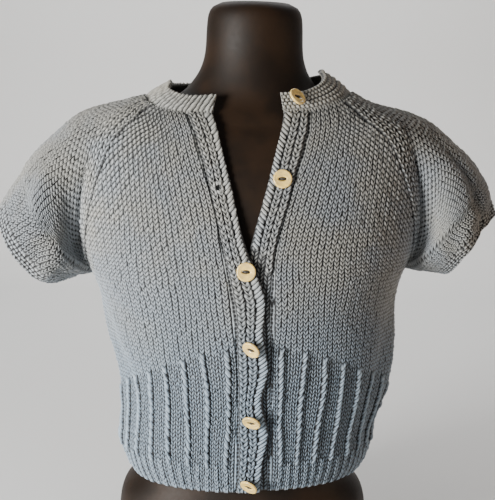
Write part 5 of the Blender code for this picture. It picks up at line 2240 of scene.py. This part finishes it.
@dataclass(frozen=True)
class FormFinish:
    """The dress form's dark brown satin shell, a little worn."""

    name: str = "dark_form_shell"
    deep: Colour = (0.0078, 0.0038, 0.0014, 1.0)
    worn: Colour = (0.0170, 0.0080, 0.0030, 1.0)
    roughness: tuple[float, float] = (0.48, 0.66)

    def build(self, effects: SharedEffects) -> Material:
        """Makes the form's material from the shared effects.

        Args:
            effects: The shared node groups.

        Returns:
            The material.
        """
        made, tree, shader = principled(self.name, Specular_IOR_Level=0.24)
        patches = effects.place(tree, effects.patches, 22.0)
        fibres = effects.place(tree, effects.fibres, 260.0)
        colour = mixed(tree, patches.outputs["Mask"], self.deep, self.worn)
        tree.links.new(colour, shader.inputs["Base Color"])
        low, high = self.roughness
        rough = node(tree, "MapRange", To_Min=low, To_Max=high)
        tree.links.new(fibres.outputs["Height"], rough.inputs["Value"])
        tree.links.new(rough.outputs["Result"], shader.inputs["Roughness"])
        add_bump(tree, shader, fibres.outputs["Height"], 0.10, 0.0005)
        return made


@dataclass(frozen=True)
class ShellFinish:
    """Polished natural shell, with soft bands of cream and grey-green, and painted shade in its sunk slot."""

    name: str = "polished_shell"
    cream: Colour = (0.94, 0.66, 0.19, 1.0)
    shade: Colour = (0.66, 0.48, 0.19, 1.0)
    # Near black: painted shade in the sunk slot
    slot: Colour = (0.035, 0.024, 0.013, 1.0)
    band_share: float = 0.35

    def build(self, effects: SharedEffects) -> Material:
        """Makes the shell's material from the shared effects.

        Args:
            effects: The shared node groups.

        Returns:
            The material.
        """
        made, tree, shader = principled(self.name, Roughness=0.22, Coat_Weight=0.4, Coat_Roughness=0.12)
        patches = effects.place(tree, effects.patches, 160.0)
        bands = node(tree, "TexWave", wave_type="RINGS", Scale=90.0, Distortion=6.0, Detail=2.0)
        tree.links.new(object_place(tree), bands.inputs["Vector"])
        lustre = mixed(tree, patches.outputs["Mask"], self.cream, self.shade)
        soft = maths(tree, "MULTIPLY", bands.outputs["Fac"], self.band_share)
        face = mixed(tree, soft, lustre, self.cream)
        # Painted shade in the sunk slot, where the disc's innermost loop lies
        sunk = node(tree, "Attribute", attribute_name="slot_shade_mask").outputs["Fac"]
        colour = mixed(tree, ramp(tree, sunk, 0.2, 0.9), face, self.slot)
        tree.links.new(colour, shader.inputs["Base Color"])
        return made


@dataclass
class DressForm:
    """The limbless form, smooth and closed, with a flat base and a rounded neck top."""

    sides: int = 128
    step: float = 0.004
    sharp_angle: float = 50.0

    def build(self, finish: Material) -> None:
        """Builds the form from its rows and dresses it.

        Args:
            finish: The form's material.
        """
        heights: list[float] = []
        for low, high in zip(FORM_ROWS, FORM_ROWS[1:]):
            steps = max(1, round((high[0] - low[0]) / self.step))
            heights += [low[0] + (high[0] - low[0]) * n / steps for n in range(steps)]
        heights.append(FORM_ROWS[-1][0])
        loops = []
        for z in heights[::-1]:
            half, front, back, power = between(FORM_ROWS, z)
            angles = [2 * pi * n / self.sides for n in range(self.sides)]
            loops.append([ring_point(half, half, front, back, power, a, z) for a in angles])
        mesh = bmesh.new()
        join_rings(mesh, loops)
        data = smooth_mesh("smooth_form", mesh)
        data.set_sharp_from_angle(angle=radians(self.sharp_angle))
        item = linked("smooth_form", data)
        data.materials.append(finish)
        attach(item, "root")
        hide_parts("form")
        LOG.info("form: %d faces", len(data.polygons))


@dataclass
class ShellButton:
    """A round shell button with a sunk oval slot, two holes and a few turns of thread."""

    number: int
    x: float
    z: float
    lean_side: float
    lean_up: float
    stand_off: float
    layer: str
    sides: int = 48
    hole_distance: float = 0.0044
    thread_radius: float = 0.00027
    thread_pitch: float = 0.0005
    thread_depth: float = 0.0010
    thread_arch: float = 0.0007
    thread_sides: int = 8

    def place(self) -> Matrix:
        """Where the button sits and the way it faces."""
        seat, facing = button_seat(self.x, self.z, self.layer)
        return Matrix.Translation(hang(seat + facing * self.stand_off)) @ turned(facing) @ self.lean()

    def lean(self) -> Matrix:
        """How the button leans off the way the cloth faces."""
        sideways, up = radians(self.lean_side), radians(self.lean_up)
        return Matrix.Rotation(sideways, 4, "Y") @ Matrix.Rotation(up, 4, "X")

    def disc(self) -> bpy.types.Mesh:
        """The button's turned disc: a raised rim, a shallow dish and the slot in its middle.

        Returns:
            The disc's mesh, in the button's own frame.
        """
        radius, thick = BUTTON_RADIUS, BUTTON_THICKNESS
        slot_x, slot_y = BUTTON_SLOT_LENGTH / 2, BUTTON_SLOT_WIDTH / 2
        loops = (  # radius_x, radius_y, z
            (radius - 0.0014, radius - 0.0014, 0.0),
            (radius - 0.0005, radius - 0.0005, 0.0002),
            (radius, radius, 0.0009),
            (radius, radius, thick - 0.0009),
            (radius - 0.0003, radius - 0.0003, thick - 0.0003),
            (radius - 0.0009, radius - 0.0009, thick),
            (radius - 0.0017, radius - 0.0017, thick - 0.0001),
            (radius - 0.0024, radius - 0.0024, thick - 0.0004),
            (slot_x + 0.0010, slot_y + 0.0014, thick - 0.0004),
            (slot_x, slot_y, thick - 0.0005),
            (slot_x * 0.93, slot_y * 0.88, thick - 0.0010),
            (slot_x * 0.80, slot_y * 0.70, thick - 0.0012),
        )
        angles = [2 * pi * n / self.sides for n in range(self.sides)]
        mesh = bmesh.new()
        join_rings(mesh, [[Vector((x * cos(a), y * sin(a), z)) for a in angles] for x, y, z in loops])
        data = smooth_mesh(f"shell_button_{self.number}", mesh)
        # Marks the disc's innermost loop, at the bottom of the slot, for its painted shade
        depth = np.repeat([float(n >= len(loops) - 1) for n in range(len(loops))], self.sides)
        sunk = data.attributes.new("slot_shade_mask", "FLOAT", "POINT")
        sunk.data.foreach_set("value", depth.astype(np.float32))
        return data

    def thread(self) -> bpy.types.Mesh:
        """The sewing thread: three turns through the two holes, and the shank of a leaning button.

        Returns:
            The thread's mesh, in the button's own frame.
        """
        mesh = bmesh.new()
        turns = [2 * pi * n / self.thread_sides for n in range(self.thread_sides)]
        for offset in (-self.thread_pitch, 0.0, self.thread_pitch):
            loops = []
            for n in range(9):
                share = n / 8
                arch = sin(pi * share)
                height = BUTTON_THICKNESS - self.thread_depth + self.thread_arch * arch
                middle = Vector(((share - 0.5) * self.hole_distance, offset * (1 + 0.5 * arch), height))
                loops.append([middle + Vector((0, cos(a), sin(a))) * self.thread_radius for a in turns])
            join_rings(mesh, loops)
        if self.stand_off > BUTTON_THICKNESS:
            self.shank(mesh)
        return smooth_mesh(f"button_thread_{self.number}", mesh)

    def shank(self, mesh: bmesh.types.BMesh) -> None:
        """Adds the wound thread that holds a leaning button off the cloth.

        Args:
            mesh: The thread's mesh.
        """
        down = self.lean().inverted() @ Vector((0.0, 0.0, -1.0))
        winds = (  # radius, and its top and bottom as shares of the stand-off
            (0.0013, 0.0, 0.35),
            (0.0016, 0.35, 0.7),
            (0.0014, 0.7, 1.1),
        )
        for radius, top, bottom in winds:
            made = bmesh.ops.create_cone(
                mesh, cap_ends=True, segments=10, radius1=radius, radius2=radius, depth=1.0
            )
            length = (bottom - top) * self.stand_off
            middle = down * (top + bottom) / 2 * self.stand_off
            move = Matrix.Translation(middle) @ turned(-down) @ Matrix.Diagonal((1.0, 1.0, length, 1.0))
            bmesh.ops.transform(mesh, matrix=move, verts=made["verts"])

    def build(self, shell: Material, thread: Material) -> None:
        """Builds the button and its thread, and puts them on the band.

        Args:
            shell: The button's material.
            thread: The thread's material.
        """
        disc = linked(f"shell_button_{self.number}", self.disc())
        disc.data.materials.append(shell)
        strands = linked(f"button_thread_{self.number}", self.thread())
        strands.data.materials.append(thread)
        for item, slot in ((disc, "cream_shell"), (strands, "blue_grey_yarn")):
            item.data.transform(self.place())
            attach(item, "root")
        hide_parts(f"button_{self.number}")
        LOG.info("button %d: %d faces", self.number, len(disc.data.polygons))


@dataclass(frozen=True)
class ThreadFinish:
    """Dark sewing thread."""

    name: str = "sewing_thread"
    dark: Colour = (0.045, 0.040, 0.032, 1.0)
    light: Colour = (0.13, 0.12, 0.10, 1.0)

    def build(self, effects: SharedEffects) -> Material:
        """Makes the thread's material from the shared effects.

        Args:
            effects: The shared node groups.

        Returns:
            The material.
        """
        made, tree, shader = principled(self.name, Roughness=0.8)
        fibres = effects.place(tree, effects.fibres, 2500.0)
        colour = mixed(tree, fibres.outputs["Flecks"], self.dark, self.light)
        tree.links.new(colour, shader.inputs["Base Color"])
        return made


@dataclass
class Studio:
    """The camera, the soft lights, and a plain pale floor that curves up behind."""

    aim: Point = (0.0, 0.0, 0.330)
    distance: float = 1.05
    pitch: float = 9.0
    roll: float = 1.5
    lens: float = 72.0
    shift: float = -0.003

    def camera(self) -> None:
        """Sets the camera at the photograph's viewing angle."""
        tilt = radians(self.pitch)
        forward = Vector((0.0, cos(tilt), -sin(tilt)))
        data = bpy.data.cameras.new("camera")
        data.lens, data.sensor_width, data.shift_x = self.lens, 36.0, self.shift
        item = bpy.data.objects.new("camera", data)
        turn = forward.to_track_quat("-Z", "Y").to_matrix() @ Matrix.Rotation(radians(self.roll), 3, "Z")
        item.matrix_world = Matrix.Translation(Vector(self.aim) - forward * self.distance) @ turn.to_4x4()
        bpy.context.scene.collection.objects.link(item)
        bpy.context.scene.camera = item

    def lamp(
        self, name: str, place: Point, size: float, power: float, colour: Point, towards: Point | None = None
    ) -> None:
        """Adds a soft square lamp.

        Args:
            name: The lamp's name.
            place: Where it is.
            size: Its width, in metres.
            power: Its power, in watts.
            colour: Its colour.
            towards: What it faces; the garment if nothing else is given.
        """
        data = bpy.data.lights.new(name, "AREA")
        data.size, data.energy, data.color = size, power, colour
        item = bpy.data.objects.new(name, data)
        turn = (Vector(towards or self.aim) - Vector(place)).to_track_quat("-Z", "Y")
        item.matrix_world = Matrix.Translation(Vector(place)) @ turn.to_matrix().to_4x4()
        bpy.context.scene.collection.objects.link(item)

    def lights(self) -> None:
        """A small key lamp on the left, a weak warm one on the right, one behind, and a pale sky."""
        self.lamp("key_lamp", (-1.10, -1.02, 0.40), 0.50, 53.0, (1.0, 0.98, 0.95))
        self.lamp("side_lamp", (1.6, -0.5, 0.5), 0.8, 5.0, (1.0, 0.66, 0.40))
        self.lamp("back_lamp", (0.0, 1.2, 1.9), 1.8, 30.0, (1.0, 1.0, 1.0), (0.0, 1.9, 0.2))
        world = bpy.data.worlds.new("studio")
        world.use_nodes = True
        sky = world.node_tree.nodes["Background"]
        sky.inputs["Color"].default_value = (0.93, 0.96, 1.0, 1.0)
        sky.inputs["Strength"].default_value = 0.16
        bpy.context.scene.world = world

    def floor(self) -> None:
        """The floor and its curved back, as one smooth strip."""
        half, front, back, bend, top = 3.0, -2.5, 1.4, 0.6, 3.0
        profile = [(front, 0.0), (back, 0.0)]
        profile += [(back + bend * sin(a), bend * (1 - cos(a))) for a in np.linspace(0.1, pi / 2, 12)]
        profile.append((back + bend, top))
        points = [(x, y, z) for y, z in profile for x in (-half, half)]
        faces = [(2 * n, 2 * n + 1, 2 * n + 3, 2 * n + 2) for n in range(len(profile) - 1)]
        data = bpy.data.meshes.new("floor")
        data.from_pydata(points, [], faces)
        data.shade_smooth()
        item = linked("floor", data)
        pale, tree, shader = principled("pale_floor", Roughness=0.9)
        noise = node(tree, "TexNoise", Scale=3.0)
        tree.links.new(
            mixed(tree, noise.outputs["Fac"], (0.80, 0.80, 0.79, 1.0), (0.83, 0.83, 0.82, 1.0)),
            shader.inputs["Base Color"],
        )
        data.materials.append(pale)


def main() -> None:
    """Builds the cardigan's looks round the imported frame."""
    logging.basicConfig(level=logging.INFO, format="%(message)s")
    for item in list(bpy.data.objects):
        bpy.data.objects.remove(item, do_unlink=True)
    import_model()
    studio = Studio()
    studio.camera()
    studio.lights()
    studio.floor()
    effects = SharedEffects(cloud_group(), fibre_group())
    yarn = YarnFinish().build(effects)
    DressForm().build(FormFinish().build(effects))
    pieces: list[KnitPiece] = [
        Back("back", (0.44, 0.385), 0.140, ["smooth_form"]),
        Front("front_right", (0.205, 0.375), 0.060, ["smooth_form"], side=-1),
        Front("front_left", (0.205, 0.375), 0.060, ["smooth_form"], side=1),
        Sleeve("sleeve_right", (0.385, 0.200), 0.060, ["smooth_form"], side=-1),
        Sleeve("sleeve_left", (0.385, 0.200), 0.060, ["smooth_form"], side=1),
        FrontBand("buttonhole_band", (0.026, 0.385), 0.0100, ["knit_front_right"], side=-1, hole=True),
        FrontBand("button_band", (0.027, 0.385), 0.0100, ["knit_front_left"], side=1),
        Neckband("neckband", (0.47, 0.024), 0.0110, ["knit_back"]),
    ]
    for piece in pieces:
        piece.build(yarn)
    shell, thread = ShellFinish().build(effects), ThreadFinish().build(effects)
    for number, row in enumerate(BUTTON_ROWS, start=1):
        ShellButton(number, *row).build(shell, thread)


if __name__ == "__main__":
    main()
